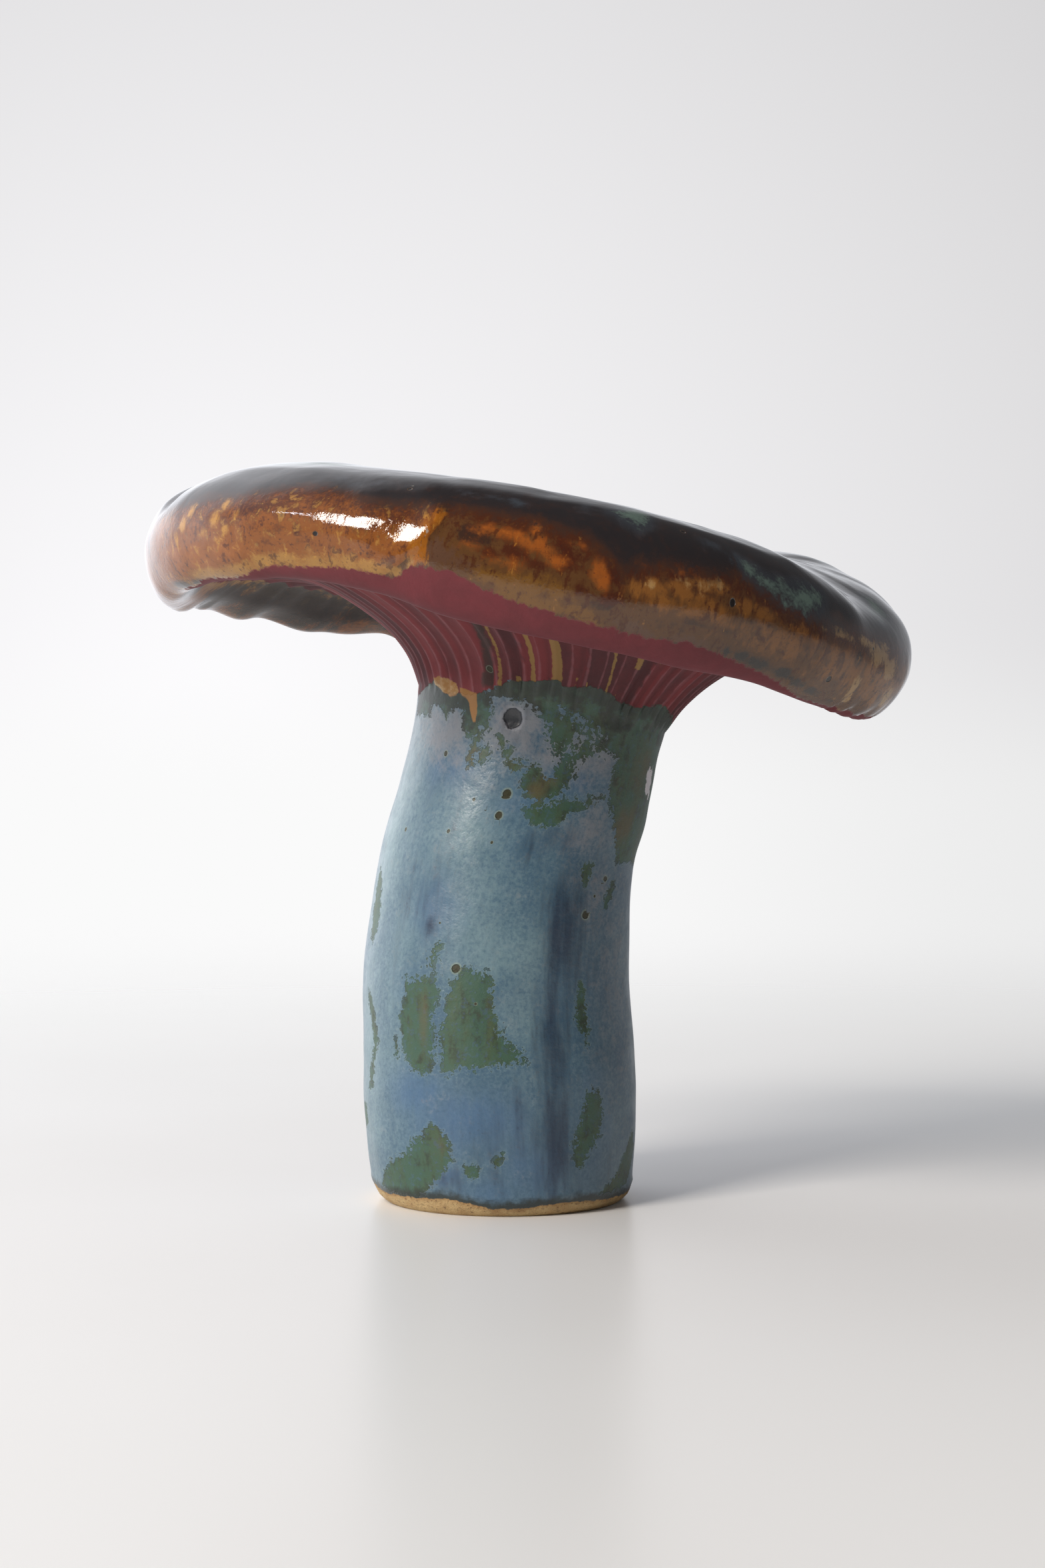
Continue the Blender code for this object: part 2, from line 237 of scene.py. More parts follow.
# Islands of the blue glaze inside the green, and bare clay with a drip from it
BLUE_ISLANDS = (
    ((-84.4, 65.5), (-82, 66), (-77.4, 65.4), (-78.3, 64.9), (-82, 65)),
    ((-76.4, 64.7), (-72.5, 65.4), (-68.5, 64.9), (-71, 64.4), (-75.3, 64.3)),
    ((-71.7, 63.3), (-68.5, 63.8), (-67.3, 63), (-68.5, 61.7), (-71.5, 61.9)),
    ((-65, 63.1), (-63, 63.9), (-58.4, 63.6), (-60.6, 62.6), (-63, 62), (-65.3, 62.4)),
    ((-77.3, 60.8), (-74, 61.8), (-71.4, 61.3), (-74.5, 60.1)),
    ((-71.3, 59.4), (-68.7, 59.6), (-66.7, 58.4), (-68.6, 57.8)),
    ((-58.3, 59), (-55.5, 60.6), (-53.4, 60.2), (-48.6, 59.4), (-51.3, 58.5), (-55.7, 58.5)),
)
CLAY_PATCHES = (
    ((-150, 66.6), (-144.3, 67.2), (-132.6, 66.8), (-131, 65.6), (-132.4, 64.9), (-136.5, 64.6),
     (-142.3, 65.3), (-147, 65.8)),
)
CLAY_DRIPS = (
    ((-130.5, 66.2), (-126.5, 66), (-121, 65.8), (-120, 64.2), (-119.7, 63), (-120, 61.8), (-122, 62.2),
     (-124, 63.5), (-125, 64.6), (-130.8, 65.2)),
)
# Opalescent grey-green clouds on the top, as angle and distance round the rim
CLOUDS = (
    ((-79.2, 20), (-74.4, 25), (-71, 23.5), (-72.1, 19.1), (-75.1, 17.4), (-77.2, 18.3)),
    ((-57, 16.6), (-53.9, 15.8), (-51.1, 14.8), (-45.2, 15.7), (-39.1, 15.4), (-40.2, 13.3), (-44.5, 11.8),
     (-49.2, 12.4), (-53.1, 13.4), (-56.2, 14.6)),
    ((-10.5, 22), (-8, 20), (-10.8, 17.6), (-18.4, 16.9), (-19, 19.1)),
    ((20, 24), (34, 27), (38, 20), (28, 16), (19, 18)),
    ((96, 18), (120, 21), (126, 15), (112, 12), (98, 13)),
    ((160, 26), (176, 30), (178, 22), (166, 19)),
    ((-150, 27), (-128, 30), (-132, 24), (-148, 22)),
)
PATCH_REACH = 4.0

# Soft tints on the stem: angle, height, half width and half height in millimetres, and strength
STEM_TINTS = {
    "cobalt": (
        (-62, 36.5, 3.2, 7.5, 1), (-66, 24, 2.4, 10, 0.9), (-67, 11, 2.6, 8, 0.85), (-61, 40, 1.2, 2.5, 1),
        (-121, 37.7, 0.8, 1.2, 0.8), (-116, 5.3, 2.2, 1.3, 0.6), (-66, 67.4, 1, 0.8, 1),
        (-78, 48, 5, 3, 0.35), (-70, 49.5, 3.5, 2.6, 0.55), (-92, 9, 2, 4, 0.4), (18, 44, 3, 9, 0.8),
        (95, 50, 3.5, 8, 0.8), (98, 34, 2.5, 10, 0.7), (168, 22, 3, 12, 0.6), (-128, 40, 4, 4, 0.3),
        (-80, 14, 1.2, 5, 0.4),
    ),
    # Partly painted light: the tints from -136 to -160 make the lit left side paler, and the one at (-112,
    # 50) is a painted sheen high on the front left
    "pale": (
        (-112, 50, 5.5, 5.5, 0.5), (-136, 37, 4, 5, 0.5), (-98, 37, 6, 5, 0.5), (-160, 50, 5, 16, 0.7),
        (-100, 42, 5, 4, 0.4), (-160, 20, 4, 14, 0.6), (-142, 24, 3, 7, 0.4), (-78, 27, 3, 6, 0.5),
        (-82, 35, 4, 5, 0.55), (-92, 33, 4, 3, 0.5), (45, 40, 7, 8, 0.8), (130, 52, 8, 6, 0.8),
        (70, 22, 6, 6, 0.5),
    ),
    "lavender": (
        (-101, 62.3, 4.6, 4.2, 1), (-84, 61, 3.2, 4, 0.85), (-138, 60.5, 6, 3.4, 0.9), (-68, 61, 8, 4, 0.8),
        (-54, 51, 4, 4.5, 0.6), (-30, 30, 5, 14, 0.45), (-45, 42, 4, 5, 0.6), (60, 60, 12, 5, 0.8),
        (140, 59, 9, 4, 0.8),
    ),
    "periwinkle": (
        (-116, 5.6, 2.4, 1.6, 1), (-104, 13, 7, 4.5, 0.8), (-126, 16, 6, 3.5, 0.7), (-96, 3.5, 6, 2.5, 0.6),
        (-128, 29, 2, 6, 0.4), (-122, 39, 5, 4, 0.6), (-128, 56, 7, 2.5, 0.6), (-95, 53, 5, 3, 0.5),
        (-70, 57, 4, 2, 0.6), (-50, 12, 3, 8, 0.5), (-80, 6, 5, 5, 0.6), (30, 20, 7, 9, 0.7),
        (110, 40, 7, 9, 0.6), (150, 12, 7, 7, 0.7),
    ),
    "brown": (
        (-121.5, 25, 0.9, 4, 0.75), (-96, 26, 1.2, 3.5, 0.45), (-115.5, 9, 1.2, 2, 0.4),
        (-85, 55, 1.6, 1.4, 0.8), (-80, 56.5, 1.6, 1, 0.7), (-35, 52, 2.4, 3, 0.9), (-30, 60, 4, 5, 0.55),
        (-92, 57.4, 2, 1.5, 0.5), (-117, 57.8, 1.4, 2, 0.6), (-52, 58, 3, 3, 0.4),
        (-66, 65.5, 3, 1.5, 0.35), (-88, 65, 2, 1, 0.3), (15, 28, 2, 4, 0.7), (50, 11, 2, 3, 0.7),
        (78, 36, 2, 4, 0.6),
    ),
    "breaking": (
        (-72, 61.5, 9, 4.5, 1), (-124, 32, 6, 2, 1), (-90, 30, 4.5, 3.5, 0.9), (-116, 23, 1.2, 5, 0.9),
        (-78, 22.5, 4, 3, 0.9), (-52, 57, 5, 3, 0.9), (-100, 55, 8, 2, 0.3), (-37, 22, 3, 4, 0.9),
        (-57, 46, 4, 2, 0.4), (-82, 53.6, 4, 1.4, 0.8), (-128, 8.5, 4, 2, 0.7), (-104, 19, 9, 1.2, 0.5),
        (-50, 12, 3, 6, 0.6), (100, 59, 12, 4, 0.9), (30, 60, 8, 4, 0.8), (70, 34, 9, 7, 0.6),
    ),
    "white": ((-18.5, 58.5, 1.35, 2.1, 1), (-14.5, 56.9, 0.8, 1, 0.8)),
}

# Soft tints on the rim and the top: angle, distance round the rim, half width, half height, strength
RIM_TINTS = {
    "gold": (
        (-147.7, 11.3, 0.9, 1.6, 1), (-148.8, 9, 0.9, 1.7, 1), (-151, 7, 0.9, 1.3, 0.8),
        (-140.9, 11.9, 0.8, 1.3, 1), (-142.1, 9.6, 0.8, 1.6, 1), (-138.3, 10.4, 0.8, 1.1, 0.8),
        (-139.9, 7.8, 1, 1, 0.7), (-141.4, 6.4, 1, 0.9, 0.6), (-144.2, 7.4, 1.1, 1, 0.6),
        (-153, 8.5, 0.7, 1.8, 0.6), (72, 2.5, 3, 2, 0.6), (128, 3, 4, 2, 0.6), (168, 5, 3, 2, 0.7),
    ),
    "rosy": (
        (-152.7, 4.8, 3.2, 2.4, 0.8), (-146.5, 4.1, 3.4, 2, 0.8), (-140.8, 4.8, 2.9, 1.8, 0.7),
        (-157, 9, 2.6, 2.8, 0.6), (-136, 5, 2, 1.2, 0.5), (-172, 5, 4, 4, 0.7), (150, 2, 6, 3, 0.6),
    ),
    "cream": (
        (-145.4, 1.8, 4.2, 0.8, 0.95), (-139, 2.5, 2.6, 0.7, 0.9), (-133, 3.3, 1.8, 0.9, 1),
        (-129.6, 3.8, 1.8, 0.8, 0.9), (-124.8, 3.7, 1.6, 1.1, 0.95), (-121, 4.3, 1.4, 0.9, 0.8),
        (-117.2, 4.8, 1.5, 1.1, 0.95), (-113.3, 4.9, 1.7, 1, 0.95), (-109.8, 5.2, 1.5, 0.8, 0.95),
        (-107.2, 6.9, 0.7, 0.9, 0.7), (100, -7.5, 12, 1.5, 0.6), (30, -1.5, 9, 1.2, 0.8),
        (150, -6.5, 9, 1.4, 0.7),
    ),
    "rust": (
        (-135, 11.3, 2.4, 1.4, 0.8), (-134.2, 8.4, 1.4, 1.2, 0.6), (-130, 8.4, 1.4, 0.9, 0.6),
        (-127.4, 8.4, 0.5, 0.9, 1), (-126, 6.6, 1.4, 0.9, 0.6), (-131.8, 6, 1.2, 0.7, 0.5),
        (-120, 10.8, 5, 0.8, 0.45), (-92.8, 10.7, 1.8, 0.9, 0.95), (-95.2, 10.2, 1.4, 0.7, 0.95),
        (-88.5, 9.9, 2.2, 0.5, 0.8), (-84.2, 11.3, 1, 1.6, 1), (-85.1, 12.7, 1, 0.9, 0.8),
        (-78.4, 10.7, 0.9, 1.6, 0.95), (-78.8, 7.9, 1.6, 0.8, 0.95), (-82.1, 8.4, 0.8, 0.9, 0.85),
        (-75.5, 11.5, 1.8, 0.5, 0.8), (-70, 12, 4, 0.6, 0.7), (-60, 13.2, 3, 0.6, 0.6),
        (-50, 11.4, 3, 0.6, 0.6), (-42, 11.7, 3, 0.7, 0.6), (-34, 12.8, 3, 0.7, 0.6), (80, 4, 9, 2.2, 0.6),
        (145, 6.5, 9, 2.2, 0.6), (20, 6, 6, 1.6, 0.6),
    ),
    "honey": (
        (-104.9, 10.2, 1.1, 2.6, 1), (-106.2, 8.4, 1.1, 1.5, 1), (-103, 13.6, 1.2, 1.2, 1),
        (-108.5, 9, 1.6, 2, 0.6), (60, 6, 5, 2, 0.6), (120, 4, 7, 2, 0.5), (178, 8, 5, 2, 0.5),
    ),
    "orange_run": (
        (-95.2, 12.9, 2.2, 0.8, 0.9), (-92.8, 12.8, 1.6, 0.6, 1), (-91.1, 12.4, 1.3, 0.8, 1),
        (-89.9, 14, 0.9, 1.4, 0.9), (-88.8, 12.4, 1.2, 1, 1), (-89.9, 11.9, 0.6, 0.7, 1),
        (-85.8, 10.7, 1.4, 0.6, 1), (-87.3, 11.6, 1, 0.7, 1), (-93.5, 9.6, 2.2, 0.7, 0.7),
        (-98, 10.6, 1.6, 0.5, 0.6), (-75.5, 12.4, 2.6, 0.5, 0.7), (-83.4, 13, 1.3, 0.5, 0.7),
        (-80.7, 10.6, 0.65, 1.4, 1.2), (-79.9, 9.5, 0.7, 1.1, 1.2), (-67, 12.6, 2.5, 0.5, 0.7),
        (40, 4.5, 3, 1, 0.7), (96, 3.5, 4, 1, 0.7),
    ),
    "olive": (
        (-102, 9, 2.2, 1.8, 0.9), (-105, 7.6, 1.6, 1, 0.9), (-98.6, 8.4, 1.8, 1.2, 0.75),
        (-74, 5.2, 2, 0.8, 0.95), (-70.3, 4.6, 1.7, 0.8, 0.9), (-76.8, 5.6, 1.2, 0.7, 0.7),
        (-65, 5, 3.2, 0.9, 0.75), (-59, 5.2, 2, 0.8, 0.6), (95, 0, 8, 2, 0.4),
    ),
    "umber": (
        (-98.4, 12, 1.9, 1.4, 0.9), (-96.3, 11.9, 1.3, 1.3, 0.8), (-94.8, 14.3, 2, 0.6, 0.5),
        (-79, 7, 2, 0.7, 0.7), (-57.8, 9, 0.7, 0.8, 0.6), (-54.7, 9, 0.9, 0.6, 0.7),
        (-51.3, 9, 0.8, 0.6, 0.6), (-44.4, 7.8, 1.3, 0.9, 0.6), (-37.9, 7.2, 1.3, 0.9, 0.7),
        (-43.8, 10.7, 1.3, 0.5, 0.6), (-35.2, 10, 1.3, 0.6, 0.5), (-30.1, 9, 0.9, 1.2, 0.8),
        (-38.7, 6, 1.6, 0.6, 0.6), (-64, 7.4, 3, 0.6, 0.7), (-59, 7.2, 2, 0.6, 0.6),
        (-68, 6.4, 3, 0.7, 0.6), (-22.5, 7.4, 0.7, 1.5, 0.6), (-33, 4.6, 1.6, 0.8, 0.6),
    ),
    "mustard": (
        (-95, 7.6, 1.9, 0.9, 0.9), (-92.1, 7.2, 1.9, 1, 1), (-88.6, 7.6, 2, 1.1, 1),
        (-84.9, 7.6, 1.8, 1, 0.9), (-89, 5.8, 2.4, 0.8, 1), (-85.5, 5.6, 2.2, 0.8, 0.95),
        (-81.7, 5.6, 1.8, 0.8, 1), (-79.8, 5, 1.4, 0.6, 1), (-87.1, 9, 1.4, 0.4, 0.6),
        (-92.5, 6, 1.6, 0.6, 0.9), (15, 2.5, 5, 1.2, 0.8),
    ),
    "tan": (
        (-63, 8.8, 7, 2.2, 0.62), (-50, 7.8, 8, 2.6, 0.66), (-36, 7, 8, 3, 0.7), (-20, 7.5, 7, 4, 0.8),
        (-74.7, 9.6, 1.8, 0.9, 0.85), (-71.1, 10, 2, 1, 0.95), (-68, 10.6, 1.8, 0.8, 0.85),
        (-64.9, 11.6, 1.7, 0.7, 0.95), (-62, 11.7, 1.5, 0.9, 1), (-69.3, 8.8, 2.4, 0.7, 0.75),
        (-62.8, 9.2, 1.8, 0.9, 0.85), (-66.3, 10, 1.6, 0.7, 0.85), (-56.3, 10.4, 2.2, 1.1, 0.95),
        (-52.7, 10.2, 2, 0.9, 0.85), (-57.9, 8, 1.8, 0.6, 0.6), (-52.9, 7.2, 1.9, 0.7, 0.6),
        (-47.3, 9.6, 2.2, 0.8, 0.85), (-48.5, 6.6, 2.3, 0.8, 0.55), (-42, 9.2, 2.2, 0.7, 0.75),
        (-38, 8.8, 2.4, 0.9, 0.65), (-30, 6, 3.4, 2.2, 0.75), (-24, 7.6, 3.4, 2.6, 0.75),
        (-14, 7, 4, 4, 0.9), (0, 5.5, 6, 3, 0.85), (45, 2, 8, 2, 0.6), (105, 0.5, 8, 2, 0.5),
        (172, 4, 7, 3, 0.4),
    ),
    "pale_tan": (
        (-35.3, 11.2, 2.4, 0.7, 0.85), (-39.8, 10.8, 1.6, 0.5, 0.65), (-62.2, 12, 1.6, 0.8, 0.5),
        (-65, 11.6, 1.9, 0.8, 0.5), (-23.5, 10.9, 2.8, 1.3, 1), (-28, 11.7, 2.2, 0.8, 0.9),
        (-26.9, 5.4, 1.3, 1.4, 1), (-26, 3.4, 1.2, 1, 0.8), (-18.5, 9.4, 1.9, 1.5, 0.95),
        (-21, 12.6, 2.2, 0.8, 0.6), (-16, 5.4, 1.6, 1.8, 0.8), (-72, 10.3, 1, 0.5, 0.6),
        (-8, 9, 2, 2.5, 0.7), (5, 6, 2, 2, 0.6),
    ),
    # Grey edge of the iron glaze, and painted shade: the entries under the lip at the back (70 to 162 and
    # -168 degrees) darken the far underside of the rim
    "slate_and_underside_shade": (
        (-54.1, 4.6, 1.6, 0.8, 0.8), (-50.9, 4.1, 1.7, 0.8, 0.95), (-45.6, 3.7, 1.9, 0.7, 0.95),
        (-40.6, 3, 1.9, 0.6, 0.85), (-36.1, 2.5, 1.6, 0.6, 0.7), (-57, 4.9, 1.3, 0.7, 0.6),
        (-31, 2, 1.5, 0.5, 0.6), (-164.5, 8.6, 0.7, 1.6, 1), (-157, 1, 3, 0.7, 0.9),
        (-151, 0.8, 2, 0.5, 0.8), (-168, -3, 5, 2, 0.9), (70, -5, 16, 4.2, 1), (105, -5.5, 18, 4.4, 1),
        (140, -5, 16, 4.2, 1), (162, -3.5, 8, 3, 1),
    ),
    "blue_grey": (
        (-96.4, 18.2, 1.2, 0.9, 0.6), (-93.9, 18, 1.2, 1.2, 0.9), (-100.7, 18.8, 1.9, 0.9, 0.5),
        (-82.4, 21.3, 2, 2.6, 0.6), (-62.4, 17.7, 2, 1.4, 0.8), (-58, 16.6, 1.8, 1.1, 0.9),
        (-20.7, 18.8, 6, 2.6, 0.8), (-16.6, 17.7, 3.5, 2, 0.7), (-122, 19, 8, 2.2, 0.5),
        (-145, 18, 6, 3, 0.4), (50, 20, 8, 4, 0.6), (140, 22, 9, 4, 0.6), (-70, 30, 9, 6, 0.4),
    ),
    "red_brown": (
        (-97.6, 15.4, 2.2, 0.8, 0.8), (-91, 15.4, 2, 0.8, 0.8), (-86.8, 14.9, 1.5, 0.8, 0.8),
        (-84.3, 14.3, 1.3, 0.7, 0.8), (-36.5, 13, 2.1, 0.8, 1), (-130, 14.2, 5, 1.2, 0.8),
        (-117, 14.8, 6, 0.9, 0.8), (-145, 13.6, 4, 1, 0.6), (-104, 17, 4, 1, 0.4), (-72, 15.5, 5, 1.2, 0.4),
        (90, 12, 12, 1.5, 0.7), (150, 14, 9, 1.4, 0.7), (30, 12, 9, 1.2, 0.6),
    ),
    # Pale flecks, and painted glints: the two thin tints at the edge of the thick amber step (-104.75 and
    # -104.3) are a painted highlight
    "fleck_and_glint": (
        (-104.75, 10, 0.16, 0.75, 1), (-104.3, 11.2, 0.12, 0.5, 0.9), (-111.3, 18.8, 0.35, 0.28, 0.7),
        (-89.7, 17.1, 0.35, 0.4, 0.5), (-66.2, 19.5, 0.3, 0.3, 0.5),
    ),
}
TINT_FALLOFF = 0.7

# Glaze run down the gills: angle at the bottom and at the top, half width, top height, bottom height
GILL_STRIPES = (
    (-95.3, -95.9, 0.42, 77, 66.8), (-85.4, -87, 0.6, 77, 66.2), (-110.6, -107.8, 0.24, 77, 66.9),
    (-78.6, -78.2, 0.15, 70.5, 67.8), (-74.4, -74.4, 0.12, 70, 67.3), (-63.6, -67.3, 0.26, 76.5, 67),
    (-53.6, -58.3, 0.42, 76, 72.5), (-41.3, -51.1, 0.28, 77, 73.5), (-101.5, -101.5, 0.55, 68.9, 67.9),
    (-60, -60.2, 0.12, 69, 66.5), (12, 10, 0.4, 76, 67), (58, 55, 0.3, 76, 67), (118, 121, 0.4, 76, 66),
    (152, 149, 0.25, 75, 65),
)
DARK_STRIPE = (-116.5, -110, 0.95, 78, 66.6)
# The height that a stripe leans from and over how much of it, and the radius that it reaches
STRIPES_LEAN_FROM, STRIPES_LEAN_OVER = 66.0, 10.0
STRIPES_REACH_OUT = 38.0

# Pinholes: angle, height over the foot, radius
STEM_PINHOLES = (
    (-97.7, 54.2, 0.62), (-99, 51.5, 0.5), (-133.1, 57.8, 0.34), (-112.1, 53, 0.2), (-119.9, 49, 0.24),
    (-98.7, 48.2, 0.18), (-114.3, 69.1, 0.36), (-107.2, 32.4, 0.6), (-38.8, 44.1, 0.42),
    (-50.1, 39.2, 0.62), (-45.1, 41.7, 0.22), (-98.4, 27.9, 0.2), (-116.3, 38.1, 0.14), (-146.4, 49.6, 0.3),
    (-146.4, 48.6, 0.24), (40, 50, 0.45), (84, 56, 0.35), (128, 34, 0.5), (150, 52, 0.3), (20, 15, 0.35),
)
# The same on the rim and top: angle, distance round the rim, radius
CAP_PINHOLES = (
    (-124.6, 8.1, 0.38), (-111.1, 17.9, 0.3), (-59.4, 10.5, 0.55), (-34.7, 4.9, 0.48), (-66.3, 19.1, 0.3),
    (-24.8, 11.4, 0.25), (30, 8, 0.45), (95, 7, 0.4), (150, 9, 0.35),
)
PINHOLE_REACH = 2.2
FAR_FROM_PINHOLES = 9.0
# A burst bubble just under the gills, healed over grey, with a painted highlight ring round its raised edge
CRATER = (-102.4, 63.4, 1.38)
CRATER_DEPTH, CRATER_EDGE = 0.30 * MM, 0.10 * MM


def length_property(name, default, description):
    """A length that a user can change, in metres."""
    return FloatProperty(name=name, description=description, default=default, unit="LENGTH")


class MushroomSizes(bpy.types.PropertyGroup):
    """Sizes of the mushroom's carving and glazes."""

    gills: IntProperty(name="Gills", description="How many gills are carved", default=60, min=12)
    columns_per_gill: IntProperty(
        name="Columns per gill", description="Columns of faces to a gill", default=8, min=4
    )
    gill_depth: length_property("Gill depth", 0.55 * MM, "Depth of the grooves between gills")
    glaze_thickness: length_property("Glaze thickness", 0.22 * MM, "How far the glaze stands over the clay")
    hand_lumps: length_property("Hand lumps", 0.30 * MM, "How far the hand left the surface uneven")


def srgb(code):
    """Turns an sRGB hex colour to linear red, green, blue and alpha."""
    parts = [int(code[i:i + 2], 16) / 255.0 for i in (1, 3, 5)]
    linear = [part / 12.92 if part <= 0.04045 else ((part + 0.055) / 1.055) ** 2.4 for part in parts]
    return (*linear, 1.0)


def colour_property(name, code, description):
    """A colour that a user can change, given as an sRGB hex code."""
    return FloatVectorProperty(
        name=name, description=description, subtype="COLOR", size=4, min=0.0, max=1.0, default=srgb(code)
    )


class MushroomColours(bpy.types.PropertyGroup):
    """Colours of the clay and the glazes."""

    clay: colour_property("Clay", "#BDA374", "Bare buff stoneware")
    clay_dark: colour_property("Toasted clay", "#8E6433", "Clay toasted at the edge of the glaze")
    clay_speck: colour_property("Clay speck", "#4A3320", "Iron specks in the bare clay")
    blue: colour_property("Blue", "#3F5D72", "Rutile blue where it lies even")
    # Also lays the painted light of the pale tints: a paler lit left side and a sheen on the front left
    aqua: colour_property("Aqua", "#7A9499", "Rutile blue where it breaks pale")
    periwinkle: colour_property("Periwinkle", "#385D86", "Rutile blue where it runs violet")
    lavender: colour_property("Lavender", "#7F8287", "Rutile blue where it pools thick")
    cobalt: colour_property("Cobalt", "#162A42", "Cobalt runs")
    green: colour_property("Green", "#355543", "Copper green under the blue")
    moss: colour_property("Moss", "#3D5234", "Copper green where it lies thin")
    # Also painted shade on the green just under the cap
    dark_green_and_shade: colour_property("Dark green", "#192119", "Copper green where it lies thick")
    olive_brown: colour_property("Olive brown", "#5E5030", "Iron in the copper green")
    white: colour_property("White", "#D8D6DA", "A white crawl of glaze")
    rose: colour_property("Rose", "#6D1F28", "Rose underglaze on the lip")
    gill: colour_property("Gill", "#7E262B", "Rose underglaze on the brightest gills")
    # Darker gill red: the darker gills, and painted shade down the grooves between them
    gill_dark_and_groove_shade: colour_property("Gill groove", "#481118", "Rose underglaze down the grooves")
    # Painted highlight: the pale red along each gill's ridge
    gill_ridge: colour_property("Gill ridge", "#92585E", "Rose underglaze worn on the ridges")
    ochre: colour_property("Ochre", "#97763A", "Yellow glaze between the gills")
    drip: colour_property("Drip", "#996B30", "Iron glaze run down from the gills")
    cream: colour_property("Cream", "#A57939", "Iron glaze where it breaks thin")
    amber: colour_property("Amber", "#854C17", "Iron glaze where it lies even")
    bronze: colour_property("Bronze", "#5C3C1E", "Iron glaze right of the step")
    gold: colour_property("Gold", "#B98638", "Flecks in the iron glaze")
    rosy: colour_property("Rosy", "#985A27", "Iron glaze with rose showing through")
    honey: colour_property("Honey", "#9E5E16", "Iron glaze where it stands thick and clear")
    orange_run: colour_property("Orange run", "#A2581C", "Orange runs in the iron glaze")
    rust: colour_property("Rust", "#471D0B", "Iron glaze where it lies thick")
    umber: colour_property("Umber", "#33211A", "Brown veins in the iron glaze")
    olive: colour_property("Olive", "#5C402F", "Iron glaze over grey")
    mustard: colour_property("Mustard", "#734E1E", "Iron glaze over yellow")
    tan: colour_property("Tan", "#8A5926", "Iron glaze gone milky")
    pale_tan: colour_property("Pale tan", "#A88656", "Iron glaze gone milky and pale")
    # Also painted shade on the far underside of the rim
    slate_and_underside_shade: colour_property("Slate", "#282625", "Grey edge of the iron glaze")
    # Also paints glints: a painted highlight along the edge of the amber step
    fleck_and_glint: colour_property("Chip", "#A39C92", "Pale chips and flecks")
    dark: colour_property("Dark", "#272223", "Dark iron glaze on the top")
    red_brown: colour_property("Red brown", "#43291C", "Dark iron glaze where it thins")
    blue_grey: colour_property("Blue grey", "#3E454D", "Blue-grey in the dark glaze")
    cloud: colour_property("Cloud", "#64786E", "Grey-green clouds in the dark glaze")
    stem_pit_edge: colour_property("Stem pit edge", "#8C9A86", "Glaze round a pinhole of the stem")
    stem_pit: colour_property("Stem pit", "#35341F", "Floor of a pinhole of the stem")
    cap_pit_edge: colour_property("Cap pit edge", "#6B4A2A", "Glaze round a pinhole of the rim or the top")
    cap_pit: colour_property("Cap pit", "#1D1714", "Floor of a pinhole of the rim or the top")
    # Pale glaze round the burst bubble, with a painted ring highlight
    crater_rim_and_highlight: colour_property("Crater edge", "#8F9299", "Glaze round the burst bubble")
    crater: colour_property("Crater", "#282C31", "Floor of the burst bubble")


def smooth_through(stations, spacing):
    """Points on a smooth curve through the stations, about this far apart."""
    stations = [Vector(station) for station in stations]
    ends = [2 * stations[0] - stations[1], *stations, 2 * stations[-1] - stations[-2]]
    points = [stations[0]]
    for before, start, end, after in zip(ends, ends[1:], ends[2:], ends[3:]):
        rings = max(1, round((end - start).length / spacing))
        for step in range(1, rings + 1):
            t = step / rings
            bend = (
                2 * start
                + t * (end - before)
                + t * t * (2 * before - 5 * start + 4 * end - after)
                + t * t * t * (3 * start - before - 3 * end + after)
            )
            points.append(bend / 2)
    return points


def over_neck(stations):
    """Stations of the cap with their heights over the foot."""
    return [(radius, NECK_HEIGHT + height) for radius, height in stations]


def blank_profile():
    """The blank's outline as radius and height, from the middle of the foot to the middle of the top."""
    stem = smooth_through([*FOOT, *((radius, height) for height, radius, _ in STEM)], STEM_RINGS)
    under = smooth_through([stem[-1], *over_neck(UNDERSIDE), *over_neck(RIM[:1])], UNDERSIDE_RINGS)
    rim = smooth_through([under[-2], *over_neck(RIM), *over_neck(TOP[:1])], RIM_RINGS)
    rim = [point for point in rim if point.x >= RIM[0][0] - WELD or point.y > NECK_HEIGHT + RIM[-1][1]]
    top = smooth_through(over_neck(TOP), TOP_RINGS)
    foot = [Vector((FOOT_FACE_RADIUS * share, 0.0)) for share in FOOT_FACE_RINGS]
    return [*foot, *stem, *under[1:], *rim[1:], *top[1:]]


def turn_blank(profile, columns):
    """Extrudes one vertex along the profile and spins it into a closed blank."""
    bpy.ops.object.select_all(action="DESELECT")
    bpy.ops.mesh.primitive_plane_add(size=MM, location=(0.0, 0.0, 0.0))
    blank = bpy.context.object
    bpy.ops.object.mode_set(mode="EDIT")
    bpy.ops.mesh.merge(type="CENTER")
    for start, end in zip(profile, profile[1:]):
        step = end - start
        bpy.ops.mesh.extrude_region_move(TRANSFORM_OT_translate={"value": (step.x, 0.0, step.y)})
    bpy.ops.mesh.select_all(action="SELECT")
    bpy.ops.mesh.spin(steps=columns, angle=2.0 * pi, center=(0.0, 0.0, 0.0), axis=(0.0, 0.0, 1.0))
    bpy.ops.mesh.select_all(action="SELECT")
    bpy.ops.mesh.remove_doubles(threshold=WELD)
    bpy.ops.mesh.normals_make_consistent(inside=False)
    bpy.ops.object.mode_set(mode="OBJECT")
    return blank


def eased(value, low, high):
    """0 below low, 1 above high, and a smooth step between them."""
    share = np.clip((value - low) / (high - low), 0.0, 1.0)
    return share * share * (3.0 - 2.0 * share)


def waves(angle, terms):
    """Sine waves added together, each told by its count round the circle, its phase and its size."""
    return sum(size * np.sin(count * angle + phase) for count, phase, size in terms)


def turned_from(angle, middle):
    """The shorter turn from middle to angle, in radians."""
    return np.arctan2(np.sin(angle - middle), np.cos(angle - middle))


def lift(angle, spots):
    """How far the rim is lifted in each direction."""
    whole = np.zeros_like(angle)
    for middle, half_width, height in spots:
        away = turned_from(angle, radians(middle)) / radians(half_width)
        whole += height * MM * np.exp(-away * away)
    return whole


